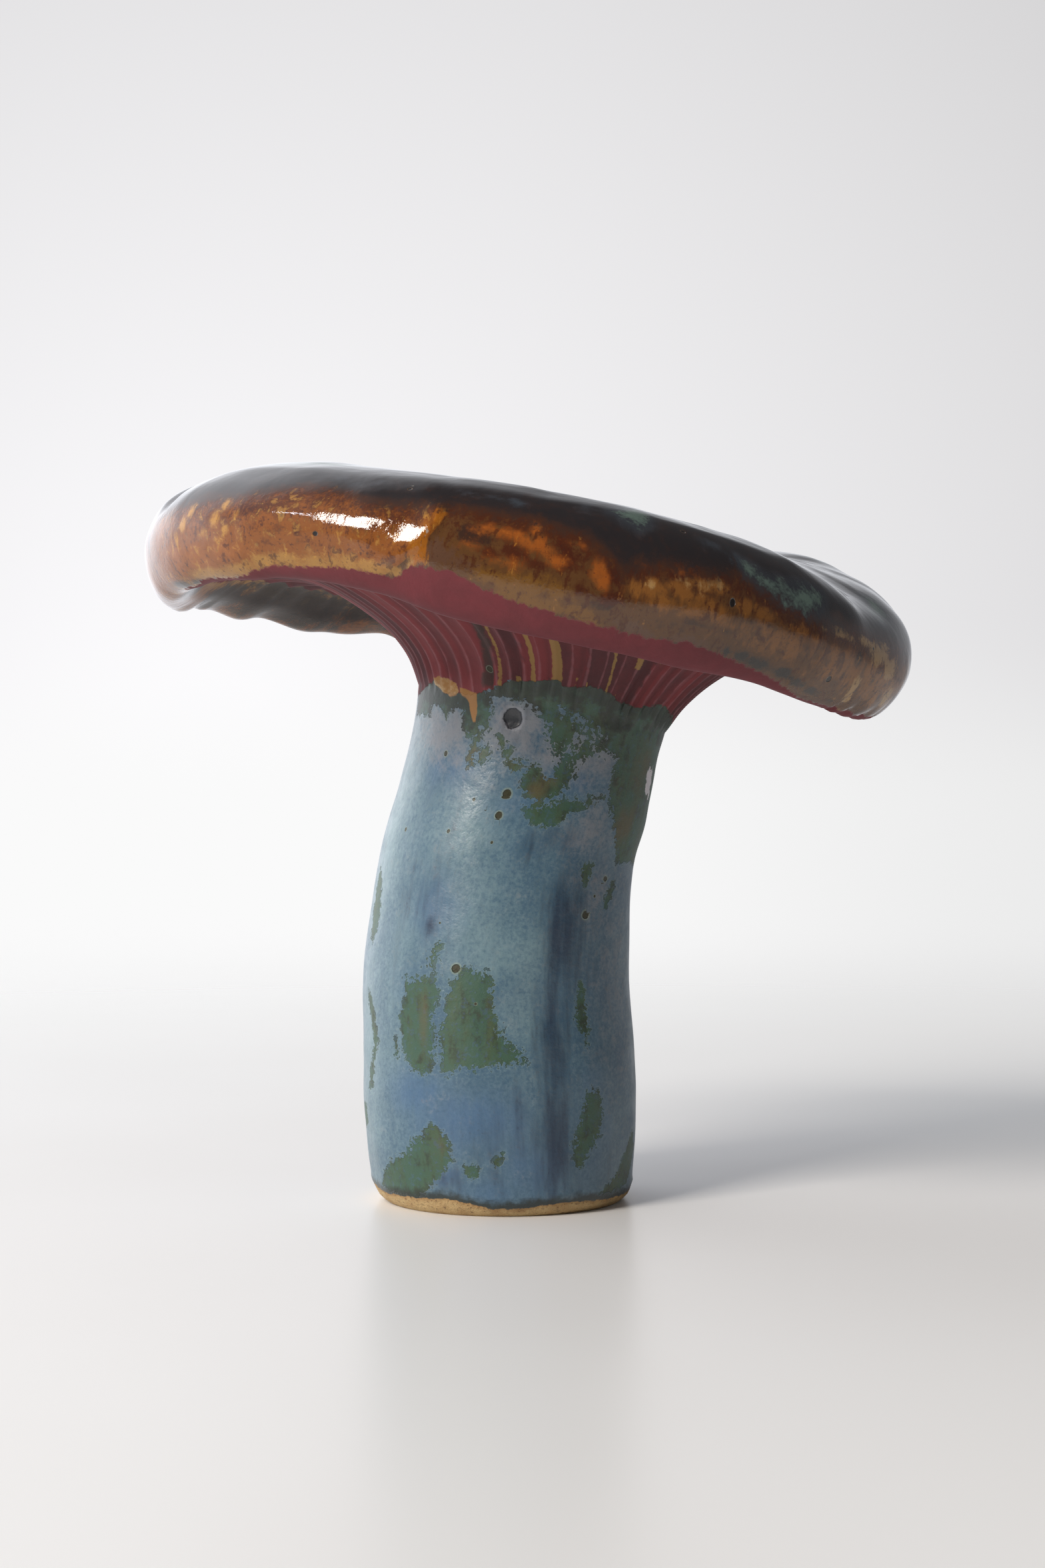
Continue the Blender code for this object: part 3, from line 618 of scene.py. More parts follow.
class Blank:
    """Where each vertex of the straight blank lies, in the terms that the shape and the glazes use."""

    def __init__(self, mesh, profile):
        places = np.empty(len(mesh.vertices) * 3)
        mesh.vertices.foreach_get("co", places)
        self.places = places.reshape(-1, 3)
        self.radius = np.hypot(self.places[:, 0], self.places[:, 1])
        self.angle = np.arctan2(self.places[:, 1], self.places[:, 0])
        self.degrees = np.degrees(self.angle)
        self.height = self.places[:, 2]
        self.over_neck = self.height - NECK_HEIGHT
        self.height_mm = self.height / MM
        self.round_rim = self.distance_round_rim(profile)

    def distance_round_rim(self, profile):
        """Millimetres along the profile from the lip's lowest line to each vertex's place on it."""
        outline = np.array([(point.x, point.y) for point in profile])
        along = np.concatenate(([0.0], np.cumsum(np.hypot(*np.diff(outline, axis=0).T))))
        radius, over_neck = RIM[LOWEST_ON_RIM]
        lowest = along[np.argmin(np.hypot(outline[:, 0] - radius, outline[:, 1] - (NECK_HEIGHT + over_neck)))]
        nearest = np.empty(len(self.radius))
        for part in np.array_split(np.arange(len(self.radius)), DISTANCE_BATCHES):
            out = self.radius[part, None] - outline[None, :, 0]
            up = self.height[part, None] - outline[None, :, 1]
            nearest[part] = along[np.argmin(np.hypot(out, up), axis=1)]
        return (nearest - lowest) / MM

    def over_line(self, line, along):
        """Millimetres above a glaze line that is given as angle and height."""
        angles, heights = zip(*sorted(line))
        return along - np.interp(self.degrees, angles, heights, period=360.0)

    def inside(self, outlines, along, radius_mm):
        """Millimetres inside the nearest outline. Below 0 is outside, down to the reach of a patch."""
        across = self.angle * radius_mm
        deepest = np.full(len(across), -PATCH_REACH)
        for outline in outlines:
            corners = np.array([(radians(degrees) * radius_mm, height) for degrees, height in outline])
            low, high = corners.min(axis=0) - PATCH_REACH, corners.max(axis=0) + PATCH_REACH
            beside = (across > low[0]) & (across < high[0])
            near = np.nonzero(beside & (along > low[1]) & (along < high[1]))[0]
            points = np.stack((across[near], along[near]), axis=1)
            distance = np.full(len(near), np.inf)
            within = np.zeros(len(near), dtype=bool)
            for start, end in zip(corners, np.roll(corners, -1, axis=0)):
                edge, to_point = end - start, points - start
                share = np.clip(to_point @ edge / max(edge @ edge, TINY), 0.0, 1.0)
                distance = np.minimum(distance, np.hypot(*(to_point - share[:, None] * edge).T))
                crosses = (start[1] > points[:, 1]) != (end[1] > points[:, 1])
                rise = end[1] - start[1] if end[1] != start[1] else TINY
                within ^= crosses & (points[:, 0] < edge[0] * (points[:, 1] - start[1]) / rise + start[0])
            deepest[near] = np.maximum(deepest[near], np.where(within, distance, -distance))
        return deepest

    def tint(self, spots, along, radius_mm):
        """The strongest of these soft round tints at each vertex."""
        whole = np.zeros(len(self.angle))
        for degrees, height, half_width, half_height, strength in spots:
            across = turned_from(self.angle, radians(degrees)) * radius_mm / half_width
            up = (along - height) / half_height
            whole = np.maximum(whole, strength * np.exp(-TINT_FALLOFF * (across * across + up * up)))
        return whole

    def stripe(self, stripe):
        """Millimetres inside a stripe that runs down the gills."""
        bottom_angle, top_angle, half_width, top, bottom = stripe
        share = np.clip((self.height_mm - STRIPES_LEAN_FROM) / STRIPES_LEAN_OVER, 0.0, 1.0)
        middle = np.radians(bottom_angle + (top_angle - bottom_angle) * share)
        away = np.abs(turned_from(self.angle, middle)) * self.radius / MM
        ends = np.minimum(top - self.height_mm, self.height_mm - bottom)
        return np.minimum(np.minimum(half_width - away, ends), STRIPES_REACH_OUT - self.radius / MM)

    def to_pinholes(self, pinholes, along, radius_mm):
        """The way from the nearest pinhole in its own radii, and a far third place where none is near."""
        way = np.zeros((len(self.angle), 3))
        way[:, 2] = FAR_FROM_PINHOLES
        for degrees, height, radius in pinholes:
            across = turned_from(self.angle, radians(degrees)) * radius_mm
            up = along - height
            near = np.hypot(across, up) < PINHOLE_REACH
            way[near] = np.stack((across[near] / radius, up[near] / radius, np.zeros(near.sum())), axis=1)
        return way


def gill_tone(blank, sizes):
    """A number between 0 and 1 that is the gill's own."""
    gill = np.round(blank.angle * sizes.gills / (2.0 * pi)) % sizes.gills
    return (np.sin(gill * TONE_STEP) * TONE_SPREAD) % 1.0


def gill_ridge(blank, sizes):
    """1 along the ridge of a gill, and 0 elsewhere."""
    crest = 0.5 - 0.5 * np.cos(sizes.gills * blank.angle)
    return crest ** RIDGE_SHARPNESS


def from_ridge(blank, sizes):
    """Millimetres from the nearest ridge of a gill."""
    turn = blank.angle * sizes.gills / (2.0 * pi) % 1.0
    return np.abs(turn - 0.5) * 2.0 * pi * blank.radius / (sizes.gills * MM)


def gill_cut(blank, sizes):
    """How deep the grooves between the gills are cut: shallow on one side of a ridge, deep on the other."""
    leaning = 0.5 + 0.5 * np.cos(sizes.gills * blank.angle - GROOVE_LEAN)
    groove = 1.0 - gill_ridge(blank, sizes)
    groove = groove * (GROOVE_SHALLOW_SIDE + GROOVE_DEEP_SIDE_ADDS * leaning)
    groove = groove * (1.0 + waves(blank.angle, GILL_DEPTH_WAVES))
    starts = eased(blank.over_neck, GILLS_START, GILLS_WHOLE)
    ends = 1.0 - eased(blank.radius, GILLS_FADE, GILLS_END)
    below_top = blank.round_rim < 0.0
    return sizes.gill_depth * groove * starts * ends * below_top


def shaped(blank, sizes):
    """Where the blank's vertices lie on the finished mushroom, before the fine relief."""
    radius, angle, above = blank.radius, blank.angle, blank.over_neck
    on_cap = above > 0.0
    height = np.minimum(blank.height, NECK_HEIGHT)
    out = np.where(on_cap, eased(radius, NECK_RADIUS, CAP_RADIUS), 0.0)
    shift = np.where(on_cap, CAP_SHIFT * eased(radius, NECK_RADIUS, CAP_SHIFT_WHOLE), 0.0)
    rim = eased(radius, RIM_MOVES_FROM, RIM_MOVES_WHOLE)
    top = eased(above, LIP_SIDE, TOP_SIDE)
    lifted = above + rim * (top * lift(angle, TOP_LIFTS) + (1.0 - top) * lift(angle, LIP_LIFTS))
    up = np.where(on_cap, lifted, 0.0)
    cut = gill_cut(blank, sizes)
    slope = eased(radius, NECK_RADIUS, GILLS_FACE_DOWN)
    radius = radius - cut * (1.0 - slope)
    up = up + cut * slope
    angle = angle + out * waves(angle, GILL_SPACING_WAVES)
    oval = 1.0 / np.hypot(np.cos(angle), np.sin(angle) / CAP_DEPTH_SHARE) + waves(angle, OUTLINE_WAVES)
    radius = radius * (1.0 + out * (oval - 1.0))
    x, y = radius * np.cos(angle) + shift, radius * np.sin(angle)
    share = eased(height, TIP_STARTS, NECK_HEIGHT)
    back, right = -share * CAP_TIP_BACK, share * CAP_TIP_RIGHT
    y, up = y * np.cos(back) - up * np.sin(back), y * np.sin(back) + up * np.cos(back)
    x, up = x * np.cos(right) + up * np.sin(right), up * np.cos(right) - x * np.sin(right)
    middles = smooth_through([(0.0, 0.0), *((height, middle) for height, _, middle in STEM)], LEAN_SPACING)
    middles = np.array([(point.x, point.y) for point in middles])
    x = x + np.interp(height, middles[:, 0], middles[:, 1])
    return np.stack((x, y, up + height), axis=1)


def lumps(blank, size):
    """Smooth unevenness about 1 high, with lumps of this size in metres."""
    return np.array([noise.noise(Vector(place) / size) for place in blank.places])


def glaze_fields(blank):
    """What the glazes need to know at each vertex, by name."""
    stem, rim = blank.height_mm, blank.round_rim
    amber, dark = blank.over_line(AMBER_LINE, rim), blank.over_line(DARK_LINE, rim)
    heights, angles = zip(*STEP_EDGE)
    front_edge = np.interp(rim, heights, angles)
    back_edge = sum((size * np.sin(rim / length) for size, length in BACK_EDGE_WAVES), BACK_EDGE)
    step = np.where(blank.degrees > BACK_EDGE_COUNTS, blank.degrees - back_edge, front_edge - blank.degrees)
    step = step * radians(1.0) * RIM_RADIUS_MM
    islands = blank.inside(BLUE_ISLANDS, stem, STEM_RADIUS_MM)
    stripes = np.max([blank.stripe(stripe) for stripe in GILL_STRIPES], axis=0)
    return {
        "over_foot": blank.over_line(FOOT_LINE, stem),
        "over_gills": blank.over_line(GILL_LINE, stem),
        "over_amber": amber,
        "over_dark": dark,
        "up_rim": np.clip(amber / np.maximum(amber - dark, 1.0), -0.5, 1.5),
        "left_of_step": np.clip(step, -STEP_REACH, STEP_REACH),
        "bare_green": np.minimum(blank.inside(GREEN_PATCHES, stem, STEM_RADIUS_MM), -islands),
        "bare_clay": blank.inside(CLAY_PATCHES, stem, STEM_RADIUS_MM),
        "clay_drip": blank.inside(CLAY_DRIPS, stem, STEM_RADIUS_MM),
        "clouds": blank.inside(CLOUDS, rim, RIM_RADIUS_MM),
        **{name: blank.tint(spots, stem, STEM_RADIUS_MM) for name, spots in STEM_TINTS.items()},
        **{name: blank.tint(spots, rim, RIM_RADIUS_MM) for name, spots in RIM_TINTS.items()},
        "ochre_stripe": np.clip(stripes, -3.0, 3.0),
        "dark_stripe": np.clip(blank.stripe(DARK_STRIPE), -3.0, 3.0),
        "round_rim": rim,
    }


def relief(blank, fields, sizes):
    """How far each vertex stands out from the shaped blank, by hand and by glaze."""
    rim, over_foot, step = blank.round_rim, fields["over_foot"], fields["left_of_step"]
    # The hand's lumps, fainter on the gills
    on_stem = eased(blank.height, 0.3 * MM, 4.0 * MM)
    uneven = lumps(blank, BIG_LUMPS) + SMALL_LUMPS_SHARE * lumps(blank, SMALL_LUMPS)
    out = sizes.hand_lumps * on_stem * uneven
    on_gills = eased(blank.over_neck, 0.0, 4.0 * MM) * (1.0 - eased(rim, -6.0, -2.0))
    out *= 1.0 - LUMPS_LOST_ON_GILLS * on_gills
    # The rolled lower edge of the glaze, and the step of the thick amber
    roll = eased(over_foot, -0.15, 0.35) + 0.5 * np.exp(-((over_foot - 0.6) / 0.5) ** 2)
    out += sizes.glaze_thickness * roll
    thick_side = eased(step, -0.15, 0.25) * (1.0 - eased(step, 1.0, STEP_REACH))
    on_outside = eased(rim, 3.0, 5.0) * (1.0 - eased(rim, 14.0, 17.0))
    out += THICK_AMBER * thick_side * on_outside
    # The crease in the top: a groove, and the fold behind it
    radii, turns = zip(*TOP_CREASE)
    turn = np.where(blank.degrees > 90.0, blank.degrees - 360.0, blank.degrees)
    behind = np.interp(blank.radius / MM, radii, turns) - turn
    behind *= radians(1.0) * blank.radius / MM
    on_crease = eased(rim, 11.0, 15.0) * eased(blank.radius, 26.0 * MM, 34.0 * MM)
    fold = CREASE_HEIGHT * eased(behind, 0.0, 3.0) * (1.0 - eased(behind, 6.0, 26.0))
    groove = CREASE_HEIGHT * np.exp(-(behind / CREASE_HALF_WIDTH) ** 2)
    out += MM * on_crease * (fold - groove)
    # The waves of the lip at the back, and the notches under the rim at the right
    far_lip = eased(np.abs(blank.degrees - FAR_LIP_MIDDLE), 70.0, 40.0)
    lip = np.exp(-((rim + 0.5) / 3.2) ** 2)
    out += FAR_LIP_HEIGHT * lip * far_lip * waves(blank.angle, FAR_LIP_WAVES)
    for degrees, depth in RIM_NOTCHES:
        away = (blank.degrees - degrees) * radians(1.0) * LIP_RADIUS_MM
        out -= depth * MM * lip * np.exp(-(away / NOTCH_HALF_WIDTH) ** 2)
    # The crater and its raised edge
    degrees, height, radius = CRATER
    away = np.hypot((blank.angle - radians(degrees)) * CRATER_RADIUS_MM, blank.height_mm - height)
    out -= CRATER_DEPTH * (1.0 - eased(away, radius - 0.35, radius + 0.05))
    out += CRATER_EDGE * np.exp(-((away - radius - 0.35) / 0.35) ** 2)
    return out


def keep_fields(mesh, blank, fields):
    """Writes each field, the blank's own places and the ways to the pinholes as attributes of the mesh."""
    vectors = {
        "blank": blank.places,
        "to_stem_pinhole": blank.to_pinholes(STEM_PINHOLES, blank.height_mm, STEM_RADIUS_MM),
        "to_cap_pinhole": blank.to_pinholes(CAP_PINHOLES, blank.round_rim, RIM_RADIUS_MM),
        "to_crater": blank.to_pinholes((CRATER,), blank.height_mm, CRATER_RADIUS_MM),
    }
    for kind, key, tables in (("FLOAT", "value", fields), ("FLOAT_VECTOR", "vector", vectors)):
        for name, values in tables.items():
            attribute = mesh.attributes.new(name, kind, "POINT")
            attribute.data.foreach_set(key, values.astype(np.float32).ravel())


MATH, MIX, RANGE = "ShaderNodeMath", "ShaderNodeMix", "ShaderNodeMapRange"
ATTRIBUTE, VECTOR_MATH = "ShaderNodeAttribute", "ShaderNodeVectorMath"


def add_node(tree, kind, inputs=None, take=None, **settings):
    """Adds one node with its settings, sets or links its inputs, and gives one of its outputs."""
    node = tree.nodes.new(kind)
    for name, value in settings.items():
        setattr(node, name, value)
    for place, value in (inputs or {}).items():
        if isinstance(value, bpy.types.NodeSocket):
            tree.links.new(value, node.inputs[place])
        else:
            node.inputs[place].default_value = value
    return node.outputs[take] if take else next((output for output in node.outputs if output.enabled), None)


def per_metre(feature_mm):
    """The noise scale whose features are about this many millimetres."""
    return 1000.0 / feature_mm


# The noises that the glazes share: feature size in millimetres, how far drawn out downwards, detail, twist
NOISES = {
    "clouds": (8.0, 1.0, 3.0, 0.0),
    "mottle": (2.4, 1.0, 4.0, 0.0),
    "flecks": (1.3, 2.0, 5.0, 0.6),
    "ragged": (0.9, 1.0, 4.0, 0.0),
    "grain": (0.45, 1.0, 2.0, 0.0),
    "streaks": (2.6, 7.0, 3.0, 0.0),
    "fine_streaks": (0.9, 7.0, 2.0, 0.0),
}
EVERYWHERE = 0.0


class Patterns:
    """The colours, the mesh's fields, and noises between about -0.5 and 0.5, as sockets of one material."""

    def __init__(self, tree, colours, names):
        self.tree = tree
        self.colours = colours
        self.field = {name: add_node(tree, ATTRIBUTE, take="Fac", attribute_name=name) for name in names}
        self.noise = {}
        place = add_node(tree, ATTRIBUTE, take="Vector", attribute_name="blank")
        for name, (size, drawn_out, detail, twist) in NOISES.items():
            drawn = {"Vector": place, "Scale": (1.0, 1.0, 1.0 / drawn_out)}
            signed = add_node(tree, "ShaderNodeTexNoise", {
                "Vector": add_node(tree, "ShaderNodeMapping", drawn),
                "Scale": per_metre(size),
                "Detail": detail,
                "Roughness": 0.6,
                "Distortion": twist,
            }, normalize=False)
            self.noise[name] = add_node(tree, MATH, {0: signed, 1: 0.5}, operation="MULTIPLY")

    def colour(self, colour):
        """A colour of the panel by its name, or one that is already worked out."""
        return getattr(self.colours, colour) if isinstance(colour, str) else colour

    def cover(self, where, low, high, most=1.0, **noises):
        """How far a layer covers: up to most, where a field made ragged by noises passes from low to high."""
        where = self.field[where] if isinstance(where, str) else where
        for name, strength in noises.items():
            inputs = {0: self.noise[name], 1: strength, 2: where}
            where = add_node(self.tree, MATH, inputs, operation="MULTIPLY_ADD")
        inputs = {"Value": where, "From Min": low, "From Max": high, "To Max": most}
        return add_node(self.tree, RANGE, inputs, interpolation_type="SMOOTHSTEP")

    def wash(self, under, over, where, low, high, most=1.0, **noises):
        """A colour laid over another where a ragged field passes from low to high."""
        share = self.cover(where, low, high, most, **noises)
        inputs = {0: share, 6: self.colour(under), 7: self.colour(over)}
        return add_node(self.tree, MIX, inputs, data_type="RGBA")


def bare_stoneware(p):
    """Fired buff stoneware: matt and sandy, with iron specks, toasted brown beside the glaze."""
    colour = p.wash("clay", "clay_dark", EVERYWHERE, -0.35, 0.45, 0.45, mottle=1.0)
    colour = p.wash(colour, "clay_dark", "over_foot", -0.8, 0.1, 0.6, ragged=0.6)
    colour = p.wash(colour, "clay_speck", EVERYWHERE, 0.20, 0.34, 0.6, grain=1.0)
    height = add_node(p.tree, MATH, {0: p.noise["grain"], 1: 0.10}, operation="MULTIPLY")
    return colour, 0.85, height


def blue_over_green(p):
    """Rutile blue over copper green: satin, cloudy and streaked, crisp where it broke off the green."""
    tree, field = p.tree, p.field
    # The pale breaks are partly painted light: paler on the lit left side, with a painted sheen on the front
    # left
    blue = p.wash("blue", "aqua", "pale", -0.45, 1.15, 0.9, clouds=0.42, streaks=0.28, ragged=0.3, grain=0.55)
    blue = p.wash(blue, "periwinkle", "periwinkle", 0.1, 1.1, 0.65, clouds=0.5, streaks=0.45, grain=0.3)
    blue = p.wash(blue, "lavender", "lavender", 0.1, 1.0, 0.85, mottle=0.6, ragged=0.4, grain=0.3)
    blue = p.wash(blue, "cobalt", "cobalt", 0.10, 1.15, 0.90, streaks=0.7, fine_streaks=0.4, grain=0.3)
    blue = p.wash(blue, "cobalt", EVERYWHERE, 0.10, 0.42, 0.22, grain=0.7, fine_streaks=0.4)
    green = p.wash("green", "moss", EVERYWHERE, -0.3, 0.4, 0.9, streaks=0.9, mottle=0.7, grain=0.3)
    green = p.wash(green, "dark_green_and_shade", EVERYWHERE, -0.1, 0.5, 0.65, mottle=0.9, fine_streaks=0.6, grain=0.5)
    green = p.wash(green, "blue", EVERYWHERE, 0.12, 0.45, 0.45, ragged=0.9, grain=0.5)
    green = p.wash(green, "olive_brown", "brown", 0.2, 0.95, 0.7, streaks=0.4, mottle=0.3)
    # Darker green just under the gills: the glaze lying thicker there, and painted shade under the cap
    thick = p.cover("over_gills", -7.5, -0.5)
    green = p.wash(green, "dark_green_and_shade", thick, 0.35, 1.0, 0.8, mottle=1.4)
    # The edge of the bare green is torn and specked most where the blue was breaking
    torn = add_node(tree, MATH, {0: field["breaking"], 1: 1.4, 2: 0.7}, operation="MULTIPLY_ADD")
    specks = add_node(tree, MATH, {0: field["breaking"], 1: 1.0, 2: 0.45}, operation="MULTIPLY_ADD")
    inputs = {0: p.noise["ragged"], 1: torn, 2: field["bare_green"]}
    bare = add_node(tree, MATH, inputs, operation="MULTIPLY_ADD")
    bare = add_node(tree, MATH, {0: p.noise["grain"], 1: specks, 2: bare}, operation="MULTIPLY_ADD")
    blue = p.wash(blue, "aqua", bare, -0.7, -0.15, 0.16)
    bare_share = p.cover(bare, -0.14, 0.16, ragged=0.25)
    colour = add_node(tree, MIX, {0: bare_share, 6: blue, 7: green}, data_type="RGBA")
    colour = p.wash(colour, "dark_green_and_shade", "over_foot", 1.50, 0.30, 0.90, ragged=0.7, mottle=0.5)
    colour = p.wash(colour, "white", "white", 0.50, 0.60, ragged=0.5)
    satin = p.cover(EVERYWHERE, -0.3, 0.3, 0.10, mottle=1.0)
    satin = add_node(tree, MATH, {0: satin, 1: 0.30}, operation="ADD")
    roughness = add_node(tree, MIX, {0: bare_share, 2: satin, 3: 0.46})
    height = add_node(tree, MATH, {0: bare_share, 1: -0.07}, operation="MULTIPLY")
    height = add_node(tree, MATH, {0: p.noise["mottle"], 1: 0.05, 2: height}, operation="MULTIPLY_ADD")
    height = add_node(tree, MATH, {0: p.noise["grain"], 1: 0.012, 2: height}, operation="MULTIPLY_ADD")
    return colour, roughness, height


def rose_underglaze(p):
    """Brushed rose underglaze: satin, dusty on the lip, each gill its own red, with painted shade down the
    grooves and a painted highlight along the ridges.
    """
    colour = p.wash("gill_dark_and_groove_shade", "gill", "gill_tone", 0.05, 0.9, mottle=0.35)
    # Painted shade: darker red down the grooves between the gills
    colour = p.wash(colour, "gill_dark_and_groove_shade", "groove", 0.55, 1.1, 0.40)
    # Painted highlight: a thin pale line along each gill's ridge
    colour = p.wash(colour, "gill_ridge", "from_ridge", 0.15, 0.03, 0.48, mottle=0.20)
    colour = p.wash(colour, "rose", "round_rim", -7.5, -5.5, mottle=0.8)
    colour = p.wash(colour, "gill_dark_and_groove_shade", EVERYWHERE, -0.5, 0.5, 0.25, mottle=1.0)
    colour = p.wash(colour, "ochre", "ochre_stripe", -0.03, 0.10, 0.8, ragged=0.30)
    colour = p.wash(colour, "dark_green_and_shade", "dark_stripe", -0.1, 0.5, 0.75, ragged=0.5)
    height = add_node(p.tree, MATH, {0: p.noise["mottle"], 1: 0.05}, operation="MULTIPLY")
    return colour, 0.72, height


def iron_amber(p):
    """Iron glaze breaking on the rim: glossy amber, flecked gold and rust, with a thick step at the front."""
    thick = p.wash("amber", "cream", "up_rim", 0.18, 0.02, 0.7, mottle=0.25, flecks=0.3)
    colour = p.wash("bronze", thick, "left_of_step", -0.06, 0.06)
    colour = p.wash(colour, "rust", "up_rim", 0.50, 1.0, 0.85, mottle=0.4, flecks=0.7, grain=0.2)
    for name, low, high, most in (
        ("rosy", 0.25, 0.85, 0.75),
        ("mustard", 0.25, 0.75, 0.90),
        ("tan", 0.25, 0.80, 0.85),
        ("olive", 0.30, 0.70, 0.92),
        ("umber", 0.25, 0.80, 0.85),
        ("rust", 0.25, 0.80, 0.88),
        ("honey", 0.25, 0.75, 0.92),
        ("cream", 0.25, 0.80, 0.85),
        ("gold", 0.35, 1.00, 0.85),
        ("pale_tan", 0.30, 0.75, 0.88),
    ):
        colour = p.wash(colour, name, name, low, high, most, mottle=0.45, flecks=0.6, grain=0.25)
    colour = p.wash(colour, "orange_run", "orange_run", 0.15, 1.15, 0.85, mottle=0.4, flecks=0.6, grain=0.3)
    gold_side = p.cover("left_of_step", -0.06, 0.06, 0.20)
    colour = p.wash(colour, "gold", gold_side, 0.30, 0.62, 0.60, flecks=0.9, grain=0.30)
    colour = p.wash(colour, "rust", EVERYWHERE, 0.08, 0.36, 0.70, flecks=-0.9, grain=0.35)
    colour = p.wash(colour, "umber", EVERYWHERE, 0.20, 0.38, 0.35, grain=1.0)
    # The grey edge of the glaze, and painted shade under the far rim
    colour = p.wash(colour, "slate_and_underside_shade", "slate_and_underside_shade", 0.20, 0.70, 0.92, mottle=0.4, flecks=0.5, grain=0.2)
    # Pale flecks, and painted glints along the step's edge
    colour = p.wash(colour, "fleck_and_glint", "fleck_and_glint", 0.35, 0.75, 0.8, grain=0.5)
    height = add_node(p.tree, MATH, {0: p.noise["mottle"], 1: 0.035}, operation="MULTIPLY")
    dull = p.cover("round_rim", -1.0, -5.0, 0.5)
    gloss = add_node(p.tree, MATH, {0: dull, 1: 0.05}, operation="ADD")
    return colour, gloss, height


def dark_iron(p):
    """Thick dark iron glaze: mirror-glossy and near black, brown where it thins, with grey-green clouds."""
    colour = p.wash("red_brown", "dark", "over_dark", -0.3, 2.4, mottle=2.2, flecks=0.8)
    colour = p.wash(colour, "red_brown", EVERYWHERE, -0.1, 0.5, 0.35, mottle=0.7, flecks=0.3)
    colour = p.wash(colour, "red_brown", "red_brown", 0.25, 0.9, 0.75, mottle=0.5, flecks=0.3)
    colour = p.wash(colour, "blue_grey", "blue_grey", 0.25, 1.0, 0.75, mottle=0.7, grain=0.2)
    colour = p.wash(colour, "blue_grey", "clouds", -2.2, -0.2, 0.5, mottle=1.2)
    colour = p.wash(colour, "cloud", "clouds", -0.4, 1.9, 0.85, mottle=2.2, ragged=1.2, grain=0.8)
    # Pale flecks, and painted glints
    colour = p.wash(colour, "fleck_and_glint", "fleck_and_glint", 0.35, 0.75, 0.6, grain=0.5)
    height = add_node(p.tree, MATH, {0: p.noise["clouds"], 1: 0.05}, operation="MULTIPLY")
    return colour, 0.07, height


def glazed_stoneware(names):
    """Buff stoneware under five glazes, each laid over the last where the hand dipped or brushed it."""
    material = bpy.data.materials.new("glazed_stoneware")
    material.use_nodes = True
    tree = material.node_tree
    tree.nodes.clear()
    p = Patterns(tree, bpy.context.scene.mushroom_colours, names)
    colour, roughness, height = bare_stoneware(p)
    layers = (
        ("over_foot", 0.35, 0.10, blue_over_green(p)),
        ("over_gills", 0.70, 0.12, rose_underglaze(p)),
        ("over_amber", 0.80, 0.22, iron_amber(p)),
        ("over_dark", 2.40, 1.20, dark_iron(p)),
    )
    for name, ragged, soft, (next_colour, next_roughness, next_height) in layers:
        share = p.cover(name, -soft, soft, ragged=ragged)
        colour = add_node(tree, MIX, {0: share, 6: colour, 7: next_colour}, data_type="RGBA")
        roughness = add_node(tree, MIX, {0: share, 2: roughness, 3: next_roughness})
        height = add_node(tree, MIX, {0: share, 2: height, 3: next_height})
    patch = p.wash("drip", "clay", EVERYWHERE, -0.15, 0.55, mottle=0.8, grain=0.4)
    colour = p.wash(colour, patch, "bare_clay", -0.05, 0.15, ragged=0.3)
    colour = p.wash(colour, "drip", "clay_drip", -0.05, 0.15, ragged=0.2)
    # The crater's pale ring is partly a painted highlight
    for name, edge, pit in (
        ("to_stem_pinhole", "stem_pit_edge", "stem_pit"),
        ("to_cap_pinhole", "cap_pit_edge", "cap_pit"),
        ("to_crater", "crater_rim_and_highlight", "crater"),
    ):
        way = add_node(tree, ATTRIBUTE, take="Vector", attribute_name=name)
        radii = add_node(tree, VECTOR_MATH, {0: way}, take="Value", operation="LENGTH")
        floor = p.cover(radii, 1.0, 0.80, ragged=0.22)
        colour = p.wash(colour, edge, radii, 1.45, 1.08, 0.5, ragged=0.22)
        colour = add_node(tree, MIX, {0: floor, 6: colour, 7: p.colour(pit)}, data_type="RGBA")
        height = add_node(tree, MATH, {0: floor, 1: -0.22, 2: height}, operation="MULTIPLY_ADD")
    normal = add_node(tree, "ShaderNodeBump", {"Height": height, "Distance": MM, "Strength": 1.0})
    inputs = {"Base Color": colour, "Roughness": roughness, "Normal": normal, "IOR": 1.62}
    shader = add_node(tree, "ShaderNodeBsdfPrincipled", inputs)
    add_node(tree, "ShaderNodeOutputMaterial", {"Surface": shader})
    return material


class MUSHROOM_OT_add_mushroom(bpy.types.Operator):
    """Add the glazed mushroom in the place of its plain solid"""

    bl_idname = "mushroom.add_mushroom"
    bl_label = "Add mushroom"
    bl_options = {"REGISTER", "UNDO"}

    def execute(self, context):
        sizes = context.scene.mushroom_sizes
        profile = blank_profile()
        piece = turn_blank(profile, sizes.gills * sizes.columns_per_gill)
        piece.name = piece.data.name = "glazed_mushroom"
        mesh = piece.data
        blank = Blank(mesh, profile)
        fields = glaze_fields(blank)
        fields["groove"] = gill_cut(blank, sizes) / sizes.gill_depth
        fields["from_ridge"] = from_ridge(blank, sizes)
        fields["gill_tone"] = gill_tone(blank, sizes)
        places = shaped(blank, sizes)
        mesh.vertices.foreach_set("co", places.ravel())
        mesh.update()
        normals = np.empty(len(mesh.vertices) * 3)
        mesh.vertex_normals.foreach_get("vector", normals)
        finished = places + normals.reshape(-1, 3) * relief(blank, fields, sizes)[:, None]
        mesh.vertices.foreach_set("co", finished.ravel())
        keep_fields(mesh, blank, fields)
        mesh.shade_smooth()
        mesh.update()
        mesh.materials.append(glazed_stoneware(fields))
        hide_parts("ceramic_mushroom")
        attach(piece, "root")
        return {"FINISHED"}


